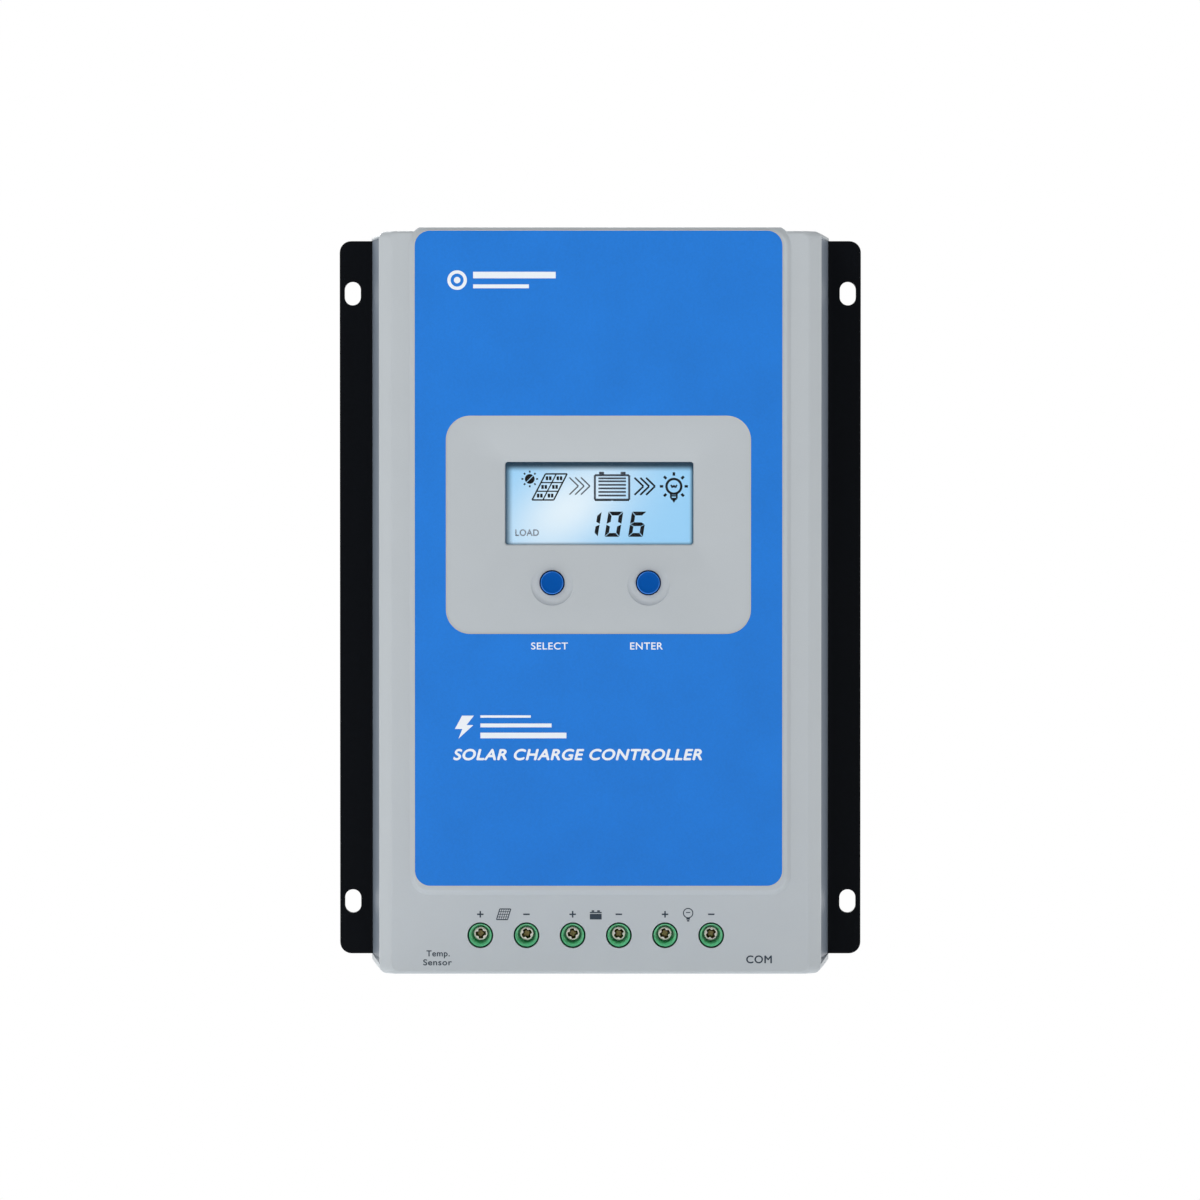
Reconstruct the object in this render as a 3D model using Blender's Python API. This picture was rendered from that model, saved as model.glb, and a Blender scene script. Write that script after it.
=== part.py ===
"""A wall-mounted solar charge controller, as an assembly of separate pieces.

Every piece is modelled in the panel frame, as if the controller lay on its back: X to the
right, Y up the wall and Z out from the wall, with the origin on the wall at the middle of
the mounting slots. The empty "controller" then stands the panel frame up, so that in the
world +Z is up and the front faces -Y. All lengths are in metres.
"""

import math

import bmesh
import bpy
from mathutils import Vector

# Gaps and rounding
GAP = 0.0003  # running gap between pieces that touch
OVERRUN = 0.002  # how far a cutter runs past the face that it cuts
ROUND_SEGMENTS = 24
SMALL_SEGMENTS = 16

# Heat sink, extruded along Y
SINK_LENGTH = 0.2448
SINK_DEPTH = 0.030
FLANGE_HALF_WIDTH = 0.090
FLANGE_THICKNESS = 0.003
FLANGE_CORNER = 0.004
SIDE_FOOT = 0.079  # half width over the side walls at the wall
SIDE_HEAD = 0.0755  # half width over the side walls at the top of the plate
SIDE_THICKNESS = 0.0028
PLATE_BOTTOM = 0.025
FIN_COUNT = 13
FIN_PITCH = 0.0104
FIN_ROOT_HALF = 0.0012
FIN_TIP_HALF = 0.0009
SLOT_X = 0.0855
SLOT_Y = 0.105
SLOT_RADIUS = 0.00275
SLOT_HALF_STRAIGHT = 0.00125

# Front cover
COVER_RIM = SINK_DEPTH + GAP
COVER_RIM_HALF_WIDTH = 0.0756
COVER_SIDE_TOP = (0.0746, 0.0572)  # X, Z where the side turns into the long chamfer
COVER_FACE_HALF_WIDTH = 0.0706
COVER_FACE = 0.0612
COVER_WALL = 0.0025
SKIRT_BOTTOM = 0.001
SKIRT_INNER = SINK_LENGTH / 2 + GAP
SKIRT_FOOT = 0.1243  # Y of both ends at the wall
COVER_TOP = 0.1248
COVER_BOTTOM = -0.126
END_BLOCK_INNER = 0.114
BAND_FACE = 0.0627
BAND_HALF_WIDTH = 0.0637
BAND_TOP = 0.126
BAND_BOTTOM = -0.0988
BAND_CORNER = 0.0062
BAND_SLOPE = 0.0011
VENT_HALF_WIDTH = 0.0034
VENT_LOW = 0.004
VENT_HIGH = 0.022

# Label
LABEL_X = -0.0005
LABEL_HALF_WIDTH = 0.062
LABEL_TOP = 0.1247
LABEL_BOTTOM = -0.0959
LABEL_CORNER = 0.0052
LABEL_THICKNESS = 0.00025

# Keypad recess and display
KEYPAD_X = -0.0005
KEYPAD_Y = 0.02515
KEYPAD_HALF = (0.05115, 0.03665)
KEYPAD_CORNER = 0.008
WINDOW_Y = 0.03265
WINDOW_HALF = (0.03115, 0.01365)
WINDOW_CORNER = 0.0009
WINDOW_EDGE = 0.0602
LENS_HALF = (0.0345, 0.0163)
LENS_Z = (0.0572, 0.0584)
GLASS_HALF = (0.0333, 0.0156)
GLASS_Z = (0.0539, 0.0566)
FRAME_HALF = (0.037, 0.0185)
FRAME_Z = (0.0515, 0.0569)
DISPLAY_BOARD = ((-0.05, 0.05), (-0.009, 0.060), (0.0496, 0.0512))

# Buttons and their switches
BUTTON_X = 0.01625
BUTTON_Y = 0.0062
BUTTON_RADIUS = 0.00375
BUTTON_TOP = 0.0625
BUTTON_FLANGE_RADIUS = 0.0052
BUTTON_FLANGE_Z = (0.0572, 0.0584)
BUTTON_HOLE = 0.00415
SEAT_RADIUS = 0.0063
SEAT_Z = 0.0609
SWITCH_HALF = 0.003
SWITCH_Z = (0.0515, 0.055)
SWITCH_FLOOR = 0.0532
STEM_RADIUS = 0.00175
STEM_Z = (0.054, 0.0569)

# Boards
BOARD_HALF_WIDTH = 0.064
BOARD_Y = (-0.122, 0.093)
BOARD_Z = (0.0332, 0.0348)
BOARD_SCREW_X = 0.058
BOARD_SCREW_Y = (-0.092, 0.086)
RAIL_HALF_WIDTH = 0.003
RAIL_Y = (-0.098, 0.091)
SCREW_HOLE = 0.0017
ON_BOARD = BOARD_Z[1] + GAP

# Terminal blocks: three blocks of two ways
TERMINAL_X = -0.0015
TERMINAL_Y = -0.1129
TERMINAL_PITCH = 0.0156
WAYS = 6
BLOCK_NAMES = ("solar", "battery", "load")
BLOCK_Y = (-0.1252, -0.1065)
BLOCK_TOP = 0.052
CAVITY_HALF_WIDTH = 0.0049
CAVITY_Y = -0.1198
CAVITY_Z = (0.0356, 0.0501)
TUBE_RADIUS = 0.0039
TUBE_TOP = 0.0607
TUBE_HOLE = 0.00425
BORE_RADIUS = 0.003
FUNNEL_Z = 0.0513
FUNNEL_RADIUS = 0.0036
ENTRY_HALF_WIDTH = 0.0036
ENTRY_Z = (0.0367, 0.0427)
SCREW_HEAD_RADIUS = 0.0026
SCREW_HEAD_Z = (0.0501, 0.0519)
SCREW_SHANK_RADIUS = 0.0019
CAGE_HALF = (0.0045, 0.0035)
CAGE_Z = (0.0359, 0.0451)
CAGE_WALL = 0.0011
CAGE_BAR = 0.0013
CONTACT_HALF_WIDTH = 0.003
CONTACT_Z = (0.0422, 0.0435)
CONTACT_Y = (-0.1175, -0.104)
CONTACT_LEG = 0.0012
CONTACT_FOOT = 0.032

# Sockets in the bottom end
JACK_X = (0.0478, 0.0634)
JACK_Y = (-0.1252, -0.106)
JACK_TOP = 0.0483
SOCKET_X = (-0.0611, -0.0499)
SOCKET_Y = (-0.125, -0.113)
SOCKET_TOP = 0.0435

# Power parts
TRANSISTOR_X = (-0.045, -0.015, 0.015, 0.045)
TRANSISTOR_Y = (0.097, 0.113)
TRANSISTOR_Z = (0.031, 0.0354)
PAD_Z = (0.0302, 0.0308)
CLAMP_X = 0.030
CLAMP_Y = 0.1015
CLAMP_Z = (0.0356, 0.0386)
CAPACITORS = ((-0.040, 0.074), (0.040, 0.074))
CAPACITOR_RADIUS = 0.009
CAPACITOR_TOP = 0.057
INDUCTORS = ((-0.028, -0.050), (0.028, -0.050))
INDUCTOR_RING = 0.014
INDUCTOR_SECTION = 0.007

# Cover screws, driven from behind
COVER_SCREWS = ((-0.0684, 0.104), (0.0684, 0.104), (-0.0684, -0.104), (0.0684, -0.104))
BOSS_RADIUS = 0.004
BOSS_TOP = 0.059
BOSS_HOLE = 0.0019
PLATE_HOLE = 0.0022

FINISHES = {  # colour, roughness, metallic
    "black_aluminium": ((0.012, 0.014, 0.018), 0.45, 0.6),
    "grey_plastic": ((0.46, 0.49, 0.50), 0.45, 0.0),
    "blue_film": ((0.03, 0.20, 0.62), 0.5, 0.0),
    "clear_plastic": ((0.9, 0.95, 1.0), 0.1, 0.0),
    "display_glass": ((0.45, 0.72, 0.95), 0.2, 0.0),
    "white_plastic": ((0.85, 0.85, 0.85), 0.5, 0.0),
    "blue_plastic": ((0.0, 0.10, 0.42), 0.4, 0.0),
    "black_plastic": ((0.02, 0.02, 0.02), 0.5, 0.0),
    "green_plastic": ((0.04, 0.33, 0.13), 0.45, 0.0),
    "board": ((0.02, 0.15, 0.06), 0.5, 0.0),
    "nickel": ((0.75, 0.73, 0.68), 0.3, 1.0),
    "copper": ((0.72, 0.35, 0.15), 0.35, 1.0),
    "capacitor_sleeve": ((0.03, 0.04, 0.09), 0.4, 0.0),
    "thermal_pad": ((0.45, 0.47, 0.50), 0.8, 0.0),
}


def clear_scene():
    """Removes whatever the scene held."""
    for old in list(bpy.data.objects):
        bpy.data.objects.remove(old)


def material(name):
    """The Principled material of a finish, made once."""
    found = bpy.data.materials.get(name)
    if found:
        return found
    colour, roughness, metallic = FINISHES[name]
    made = bpy.data.materials.new(name)
    made.use_nodes = True
    shader = made.node_tree.nodes["Principled BSDF"]
    shader.inputs["Base Color"].default_value = (*colour, 1.0)
    shader.inputs["Roughness"].default_value = roughness
    shader.inputs["Metallic"].default_value = metallic
    return made


def placed(name, bm, finish, location=(0, 0, 0)):
    """Turns a bmesh into a named object in the panel frame, shaded smooth where it is round."""
    bmesh.ops.recalc_face_normals(bm, faces=bm.faces)
    mesh = bpy.data.meshes.new(name)
    bm.to_mesh(mesh)
    bm.free()
    mesh.shade_smooth()
    mesh.set_sharp_from_angle(angle=math.radians(30))
    obj = bpy.data.objects.new(name, mesh)
    obj.location = location
    obj.parent = bpy.data.objects["controller"]
    if finish:
        mesh.materials.append(material(finish))
    bpy.context.scene.collection.objects.link(obj)
    return obj


def add_box(bm, x, y, z):
    """Adds a box from three pairs of low and high bounds."""
    made = bmesh.ops.create_cube(bm, size=1.0)["verts"]
    for vert in made:
        vert.co = Vector(
            (high if c > 0 else low) for (low, high), c in zip((x, y, z), vert.co)
        )


def add_swept(bm, outline, start, end, along):
    """Adds an outline swept along an axis: (X, Y) along Z, (X, Z) along Y or (Y, Z) along X."""
    spot = {
        "Z": lambda u, v, w: (u, v, w),
        "Y": lambda u, v, w: (u, w, v),
        "X": lambda u, v, w: (w, u, v),
    }[along]
    face = bm.faces.new([bm.verts.new(spot(u, v, start)) for u, v in outline])
    grown = bmesh.ops.extrude_face_region(bm, geom=[face])["geom"]
    shift = Vector(spot(0, 0, end - start))
    bmesh.ops.translate(bm, vec=shift, verts=[g for g in grown if isinstance(g, bmesh.types.BMVert)])


def add_stack(bm, loops):
    """Adds a closed body through loops of (X, Y) points, each at its own Z, bottom to top."""
    rings = [[bm.verts.new((x, y, z)) for x, y in points] for points, z in loops]
    bm.faces.new(rings[0][::-1])
    bm.faces.new(rings[-1])
    for low, high in zip(rings, rings[1:]):
        for i in range(len(low)):
            j = (i + 1) % len(low)
            bm.faces.new((low[i], low[j], high[j], high[i]))


def add_turned(bm, profile, centre=(0, 0), segments=ROUND_SEGMENTS):
    """Adds a round body that stands along Z, from a profile of (radius, Z) points."""
    angles = [math.tau * i / segments for i in range(segments)]
    loops = []
    for radius, z in profile:
        ring = [(centre[0] + radius * math.cos(a), centre[1] + radius * math.sin(a)) for a in angles]
        loops.append((ring, z))
    add_stack(bm, loops)


def add_ring(bm, ring, section, height, around_ring=20, around_section=8):
    """Adds a torus lying flat, for a wound core."""
    rings = []
    for i in range(around_ring):
        turn = math.tau * i / around_ring
        circle = []
        for j in range(around_section):
            angle = math.tau * j / around_section
            r = ring + section * math.cos(angle)
            z = height + section * math.sin(angle)
            circle.append(bm.verts.new((r * math.cos(turn), r * math.sin(turn), z)))
        rings.append(circle)
    for i, circle in enumerate(rings):
        last = rings[i - 1]
        for j in range(around_section):
            bm.faces.new((last[j - 1], last[j], circle[j], circle[j - 1]))


def rounded_rectangle(half_x, half_y, radius, centre=(0, 0), steps=6):
    """Points round a rectangle whose corners are arcs."""
    points = []
    for corner, (sx, sy) in enumerate(((1, 1), (-1, 1), (-1, -1), (1, -1))):
        for step in range(steps + 1):
            angle = math.pi / 2 * (corner + step / steps)
            x = sx * (half_x - radius) + radius * math.cos(angle)
            y = sy * (half_y - radius) + radius * math.sin(angle)
            points.append((centre[0] + x, centre[1] + y))
    return points


def helper(name, bm):
    """A cutter or a piece to be joined on, which isn't part of the model itself."""
    obj = placed(name, bm, None)
    obj.hide_render = True
    obj.display_type = "WIRE"
    return obj


def combine(target, name, bm, operation):
    """Cuts a bmesh out of an object, or joins it on, with a Boolean modifier."""
    tool = helper(f"{target.name}_{name}", bm)
    modifier = target.modifiers.new(name, "BOOLEAN")
    modifier.operation = operation
    modifier.object = tool
    return target


def around(half, centre):
    """Low and high bounds round a centre."""
    return (centre - half, centre + half)


def box_piece(name, x, y, z, finish):
    """A plain box as a named piece."""
    bm = bmesh.new()
    add_box(bm, x, y, z)
    return placed(name, bm, finish)


def round_holes(target, name, centres, radius, z):
    """Drills round holes of one radius along Z."""
    bm = bmesh.new()
    for centre in centres:
        add_turned(bm, [(radius, z[0]), (radius, z[1])], centre, SMALL_SEGMENTS)
    return combine(target, name, bm, "DIFFERENCE")


def cross_recess(target, centre, z, reach=0.0017, width=0.0008):
    """Cuts a cross-head recess into a screw's head."""
    bm = bmesh.new()
    half = width / 2
    arm = [(half, half), (half, reach), (-half, reach), (-half, half), (-reach, half), (-reach, -half)]
    outline = arm + [(-x, -y) for x, y in arm]
    add_swept(bm, [(centre[0] + x, centre[1] + y) for x, y in outline], z[0], z[1], "Z")
    return combine(target, "recess", bm, "DIFFERENCE")


def way_x(way):
    """X of a terminal way, 0 to 5 from the left."""
    return TERMINAL_X + (way - (WAYS - 1) / 2) * TERMINAL_PITCH


def board_screw_places():
    """The four screws of the main board."""
    return [(sx * BOARD_SCREW_X, y) for y in BOARD_SCREW_Y for sx in (-1, 1)]


def heat_sink():
    """The black aluminium extrusion: plate, fins, sloping side walls and slotted flanges."""
    side_at_flange = SIDE_FOOT - (SIDE_FOOT - SIDE_HEAD) * FLANGE_THICKNESS / SINK_DEPTH
    side_at_plate = SIDE_FOOT - (SIDE_FOOT - SIDE_HEAD) * PLATE_BOTTOM / SINK_DEPTH
    right = [
        (FLANGE_HALF_WIDTH, 0),
        (FLANGE_HALF_WIDTH, FLANGE_THICKNESS),
        (side_at_flange, FLANGE_THICKNESS),
        (SIDE_HEAD, SINK_DEPTH),
    ]
    under = [(-SIDE_FOOT + SIDE_THICKNESS, 0), (-side_at_plate + SIDE_THICKNESS, PLATE_BOTTOM)]
    for fin in range(FIN_COUNT):
        x = (fin - (FIN_COUNT - 1) / 2) * FIN_PITCH
        under += [
            (x - FIN_ROOT_HALF, PLATE_BOTTOM),
            (x - FIN_TIP_HALF, 0),
            (x + FIN_TIP_HALF, 0),
            (x + FIN_ROOT_HALF, PLATE_BOTTOM),
        ]
    under += [(side_at_plate - SIDE_THICKNESS, PLATE_BOTTOM), (SIDE_FOOT - SIDE_THICKNESS, 0)]
    outline = right + [(-x, z) for x, z in reversed(right)] + under
    bm = bmesh.new()
    add_swept(bm, outline, -SINK_LENGTH / 2, SINK_LENGTH / 2, "Y")
    corners = [
        edge
        for edge in bm.edges
        if all(abs(abs(v.co.x) - FLANGE_HALF_WIDTH) < 1e-6 for v in edge.verts)
        and abs(edge.verts[0].co.z - edge.verts[1].co.z) > FLANGE_THICKNESS / 2
    ]
    bmesh.ops.bevel(bm, geom=corners, offset=FLANGE_CORNER, segments=6, profile=0.5, affect="EDGES")
    sink = placed("heat_sink", bm, "black_aluminium")

    slots = bmesh.new()
    for sx in (-1, 1):
        for sy in (-1, 1):
            outline = rounded_rectangle(
                SLOT_RADIUS,
                SLOT_RADIUS + SLOT_HALF_STRAIGHT,
                SLOT_RADIUS - 1e-5,
                (sx * SLOT_X, sy * SLOT_Y),
            )
            add_swept(slots, outline, -OVERRUN, FLANGE_THICKNESS + OVERRUN, "Z")
    combine(sink, "slots", slots, "DIFFERENCE")
    through_plate = (PLATE_BOTTOM - OVERRUN / 2, SINK_DEPTH + OVERRUN)
    round_holes(sink, "cover_screw_holes", COVER_SCREWS, PLATE_HOLE, through_plate)
    tapped = board_screw_places() + [(-CLAMP_X, CLAMP_Y), (CLAMP_X, CLAMP_Y)]
    round_holes(sink, "tapped_holes", tapped, SCREW_HOLE, through_plate)


def cover_shell():
    """The cover's outer body, with the skirts over the heat sink's ends and the raised band."""
    middle = [
        (COVER_RIM_HALF_WIDTH, COVER_RIM),
        COVER_SIDE_TOP,
        (COVER_FACE_HALF_WIDTH, COVER_FACE),
    ]
    bm = bmesh.new()
    reach = SKIRT_FOOT - OVERRUN / 4
    add_swept(bm, middle + [(-x, z) for x, z in reversed(middle)], -reach, reach, "Y")
    cover = placed("front_cover", bm, "grey_plastic")

    end = [(SIDE_FOOT, SKIRT_BOTTOM), COVER_SIDE_TOP, (COVER_FACE_HALF_WIDTH, COVER_FACE)]
    end += [(-x, z) for x, z in reversed(end)]
    for name, inner, outer, foot in (
        ("top_end", END_BLOCK_INNER, COVER_TOP, SKIRT_FOOT),
        ("bottom_end", -END_BLOCK_INNER, COVER_BOTTOM, -SKIRT_FOOT),
    ):
        bm = bmesh.new()
        add_swept(bm, end, inner, outer, "Y")
        for vert in bm.verts:
            if abs(vert.co.y - outer) < 1e-6:
                vert.co.y = foot + (outer - foot) * vert.co.z / COVER_FACE
        combine(cover, name, bm, "UNION")

    centre = (0, (BAND_TOP + BAND_BOTTOM) / 2)
    half = (BAND_TOP - BAND_BOTTOM) / 2
    full = rounded_rectangle(BAND_HALF_WIDTH, half, BAND_CORNER, centre)
    top = rounded_rectangle(
        BAND_HALF_WIDTH - BAND_SLOPE, half - BAND_SLOPE, BAND_CORNER - BAND_SLOPE, centre
    )
    bm = bmesh.new()
    add_stack(bm, [(full, SKIRT_BOTTOM), (full, BAND_FACE - BAND_SLOPE), (top, BAND_FACE)])
    return combine(cover, "band", bm, "UNION")


def hollow_cover(cover):
    """Opens the cover where the heat sink goes and where the boards go, and adds its bosses."""
    bm = bmesh.new()
    side = FLANGE_HALF_WIDTH
    add_box(bm, (-side, side), (-SKIRT_INNER, SKIRT_INNER), (-OVERRUN, COVER_RIM))
    combine(cover, "sink_space", bm, "DIFFERENCE")

    inside = [
        (COVER_RIM_HALF_WIDTH - COVER_WALL, COVER_RIM - OVERRUN),
        (COVER_SIDE_TOP[0] - COVER_WALL, COVER_SIDE_TOP[1] - COVER_WALL / 2),
        (COVER_FACE_HALF_WIDTH - COVER_WALL / 2, COVER_FACE - COVER_WALL),
    ]
    bm = bmesh.new()
    outline = inside + [(-x, z) for x, z in reversed(inside)]
    add_swept(bm, outline, -SKIRT_INNER, SKIRT_INNER, "Y")
    combine(cover, "inside", bm, "DIFFERENCE")

    pocket_half = BAND_HALF_WIDTH - COVER_WALL
    pocket_z = (COVER_FACE - COVER_WALL - OVERRUN, BAND_FACE - COVER_WALL)
    keypad_top = KEYPAD_Y + KEYPAD_HALF[1] + OVERRUN
    keypad_bottom = KEYPAD_Y - KEYPAD_HALF[1] - OVERRUN
    bm = bmesh.new()
    add_box(bm, (-pocket_half, pocket_half), (keypad_top, SKIRT_INNER - OVERRUN), pocket_z)
    add_box(bm, (-pocket_half, pocket_half), (BAND_BOTTOM + COVER_WALL, keypad_bottom), pocket_z)
    combine(cover, "band_pockets", bm, "DIFFERENCE")

    bm = bmesh.new()
    for centre in COVER_SCREWS:
        add_turned(bm, [(BOSS_RADIUS, COVER_RIM), (BOSS_RADIUS, BOSS_TOP)], centre)
    combine(cover, "bosses", bm, "UNION")
    round_holes(cover, "boss_holes", COVER_SCREWS, BOSS_HOLE, (COVER_RIM - OVERRUN, 0.050))


def open_cover(cover):
    """Cuts the keypad recess, the display window and the holes for buttons, screws, plugs and air."""
    outer = rounded_rectangle(*KEYPAD_HALF, KEYPAD_CORNER, (KEYPAD_X, KEYPAD_Y))
    window_middle = (KEYPAD_X, WINDOW_Y)
    inner = rounded_rectangle(
        WINDOW_HALF[0] + WINDOW_CORNER, WINDOW_HALF[1] + WINDOW_CORNER, 2 * WINDOW_CORNER, window_middle
    )
    bm = bmesh.new()
    add_stack(bm, [(inner, WINDOW_EDGE), (outer, BAND_FACE), (outer, BAND_FACE + OVERRUN)])
    combine(cover, "keypad_recess", bm, "DIFFERENCE")

    bm = bmesh.new()
    window = rounded_rectangle(*WINDOW_HALF, WINDOW_CORNER, window_middle)
    add_swept(bm, window, COVER_FACE - COVER_WALL - OVERRUN, WINDOW_EDGE + OVERRUN, "Z")
    combine(cover, "window", bm, "DIFFERENCE")

    bm = bmesh.new()
    low, high = COVER_FACE - COVER_WALL - OVERRUN, BAND_FACE + OVERRUN
    profile = [(BUTTON_HOLE, low), (BUTTON_HOLE, SEAT_Z), (SEAT_RADIUS, SEAT_Z), (SEAT_RADIUS, high)]
    for sx in (-1, 1):
        add_turned(bm, profile, (sx * BUTTON_X, BUTTON_Y))
    combine(cover, "button_holes", bm, "DIFFERENCE")
    bm = bmesh.new()
    for way in range(WAYS):
        add_turned(bm, [(TUBE_HOLE, low), (TUBE_HOLE, high)], (way_x(way), TERMINAL_Y))
    combine(cover, "tube_holes", bm, "DIFFERENCE")

    past_end = (COVER_BOTTOM - OVERRUN, -SKIRT_INNER + OVERRUN)
    low = ON_BOARD - GAP
    block_half = WAYS * TERMINAL_PITCH / 2 + GAP
    bm = bmesh.new()
    add_box(bm, (TERMINAL_X - block_half, TERMINAL_X + block_half), past_end, (low, BLOCK_TOP + GAP))
    add_box(bm, (JACK_X[0] - GAP, JACK_X[1] + GAP), past_end, (low, JACK_TOP + GAP))
    add_box(bm, (SOCKET_X[0] - GAP, SOCKET_X[1] + GAP), past_end, (low, SOCKET_TOP + GAP))
    combine(cover, "socket_windows", bm, "DIFFERENCE")

    past_top = (SKIRT_INNER - OVERRUN, BAND_TOP + OVERRUN)
    bm = bmesh.new()
    for channel in range(FIN_COUNT - 1):
        x = (channel - (FIN_COUNT - 2) / 2) * FIN_PITCH
        for y in (past_end, past_top):
            add_box(bm, around(VENT_HALF_WIDTH, x), y, (VENT_LOW, VENT_HIGH))
    combine(cover, "vents", bm, "DIFFERENCE")


def front_label():
    """The blue film on the raised band, cut out round the keypad."""
    middle = (LABEL_X, (LABEL_TOP + LABEL_BOTTOM) / 2)
    outline = rounded_rectangle(LABEL_HALF_WIDTH, (LABEL_TOP - LABEL_BOTTOM) / 2, LABEL_CORNER, middle)
    low = BAND_FACE + GAP / 6
    bm = bmesh.new()
    add_swept(bm, outline, low, low + LABEL_THICKNESS, "Z")
    label = placed("front_label", bm, "blue_film")
    bm = bmesh.new()
    middle = (KEYPAD_X, KEYPAD_Y)
    hole = rounded_rectangle(KEYPAD_HALF[0] + GAP, KEYPAD_HALF[1] + GAP, KEYPAD_CORNER + GAP, middle)
    add_swept(bm, hole, low - OVERRUN, low + OVERRUN, "Z")
    combine(label, "keypad", bm, "DIFFERENCE")


def display():
    """The clear lens, the display glass in its tray, and the small board behind them."""
    for name, half, z, finish in (
        ("display_lens", LENS_HALF, LENS_Z, "clear_plastic"),
        ("display_glass", GLASS_HALF, GLASS_Z, "display_glass"),
    ):
        box_piece(name, around(half[0], KEYPAD_X), around(half[1], WINDOW_Y), z, finish)
    tray_x, tray_y = around(FRAME_HALF[0], KEYPAD_X), around(FRAME_HALF[1], WINDOW_Y)
    tray = box_piece("display_tray", tray_x, tray_y, FRAME_Z, "white_plastic")
    bm = bmesh.new()
    pocket = (GLASS_Z[0] - GAP, FRAME_Z[1] + OVERRUN)
    add_box(bm, around(GLASS_HALF[0] + GAP, KEYPAD_X), around(GLASS_HALF[1] + GAP, WINDOW_Y), pocket)
    combine(tray, "pocket", bm, "DIFFERENCE")
    box_piece("display_board", *DISPLAY_BOARD, "board")


def button(name, x):
    """One push button with its switch; the cap and the switch's stem move together."""
    flange_low, flange_high = BUTTON_FLANGE_Z
    edge = 0.0005
    profile = [
        (BUTTON_FLANGE_RADIUS, flange_low),
        (BUTTON_FLANGE_RADIUS, flange_high),
        (BUTTON_RADIUS, flange_high),
        (BUTTON_RADIUS, BUTTON_TOP - edge),
        (BUTTON_RADIUS - edge, BUTTON_TOP),
    ]
    bm = bmesh.new()
    add_turned(bm, profile)
    placed(f"{name}_button", bm, "blue_plastic", (x, BUTTON_Y, 0))
    switch = box_piece(
        f"{name}_switch", around(SWITCH_HALF, x), around(SWITCH_HALF, BUTTON_Y), SWITCH_Z, "black_plastic"
    )
    hole = (SWITCH_FLOOR, SWITCH_Z[1] + OVERRUN)
    round_holes(switch, "stem_hole", [(x, BUTTON_Y)], STEM_RADIUS + GAP, hole)
    bm = bmesh.new()
    add_turned(bm, [(STEM_RADIUS, STEM_Z[0]), (STEM_RADIUS, STEM_Z[1])], segments=SMALL_SEGMENTS)
    placed(f"{name}_switch_stem", bm, "white_plastic", (x, BUTTON_Y, 0))


def ribbon_cable():
    """The flat cable from the display board down to the main board, on an S curve."""
    half_width, half_thickness, steps = 0.008, 0.0004, 10
    start_y, run = 0.044, 0.030
    low = ON_BOARD + half_thickness
    rise = DISPLAY_BOARD[2][0] - GAP - half_thickness - low
    front, back = [], []
    for step in range(steps + 1):
        t = step / steps
        y = start_y - run * t
        z = low + rise * (1 + math.cos(math.pi * t)) / 2
        slope = rise * math.pi / 2 * math.sin(math.pi * t) / run
        length = math.hypot(1, slope)
        across = (-slope / length * half_thickness, half_thickness / length)
        front.append((y + across[0], z + across[1]))
        back.append((y - across[0], z - across[1]))
    bm = bmesh.new()
    add_swept(bm, front + back[::-1], -half_width, half_width, "X")
    placed("ribbon_cable", bm, "white_plastic")


def main_board():
    """The power board on its two spacer rails, with the screws that hold it."""
    board = box_piece("main_board", around(BOARD_HALF_WIDTH, 0), BOARD_Y, BOARD_Z, "board")
    past = (BOARD_Z[0] - OVERRUN, BOARD_Z[1] + OVERRUN)
    round_holes(board, "screw_holes", board_screw_places(), SCREW_HOLE, past)
    bm = bmesh.new()
    leg = (CONTACT_Y[1] - CONTACT_LEG - GAP, CONTACT_Y[1] + GAP)
    for way in range(WAYS):
        add_box(bm, around(CONTACT_HALF_WIDTH + GAP, way_x(way)), leg, past)
    combine(board, "leg_slots", bm, "DIFFERENCE")
    rail_z = (SINK_DEPTH + GAP, BOARD_Z[0] - GAP)
    for side, sx in (("left", -1), ("right", 1)):
        x = sx * BOARD_SCREW_X
        rail = box_piece(f"board_rail_{side}", around(RAIL_HALF_WIDTH, x), RAIL_Y, rail_z, "black_plastic")
        holes = (rail_z[0] - OVERRUN, rail_z[1] + OVERRUN)
        round_holes(rail, "holes", [(x, y) for y in BOARD_SCREW_Y], SCREW_HOLE, holes)
    for number, place in enumerate(board_screw_places(), 1):
        machine_screw(f"board_screw_{number}", place, ON_BOARD)


def machine_screw(name, place, seat):
    """A small pan-head screw driven towards the wall, its head resting on seat."""
    head, shank, height, tip = 0.0027, 0.0014, 0.0019, PLATE_BOTTOM + 0.0015
    profile = [
        (shank, tip),
        (shank, seat),
        (head, seat),
        (head, seat + height * 0.6),
        (head * 0.75, seat + height),
    ]
    bm = bmesh.new()
    add_turned(bm, profile, segments=SMALL_SEGMENTS)
    screw = placed(name, bm, "nickel", (*place, 0))
    cross_recess(screw, place, (seat + height * 0.4, seat + height + OVERRUN))


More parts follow.
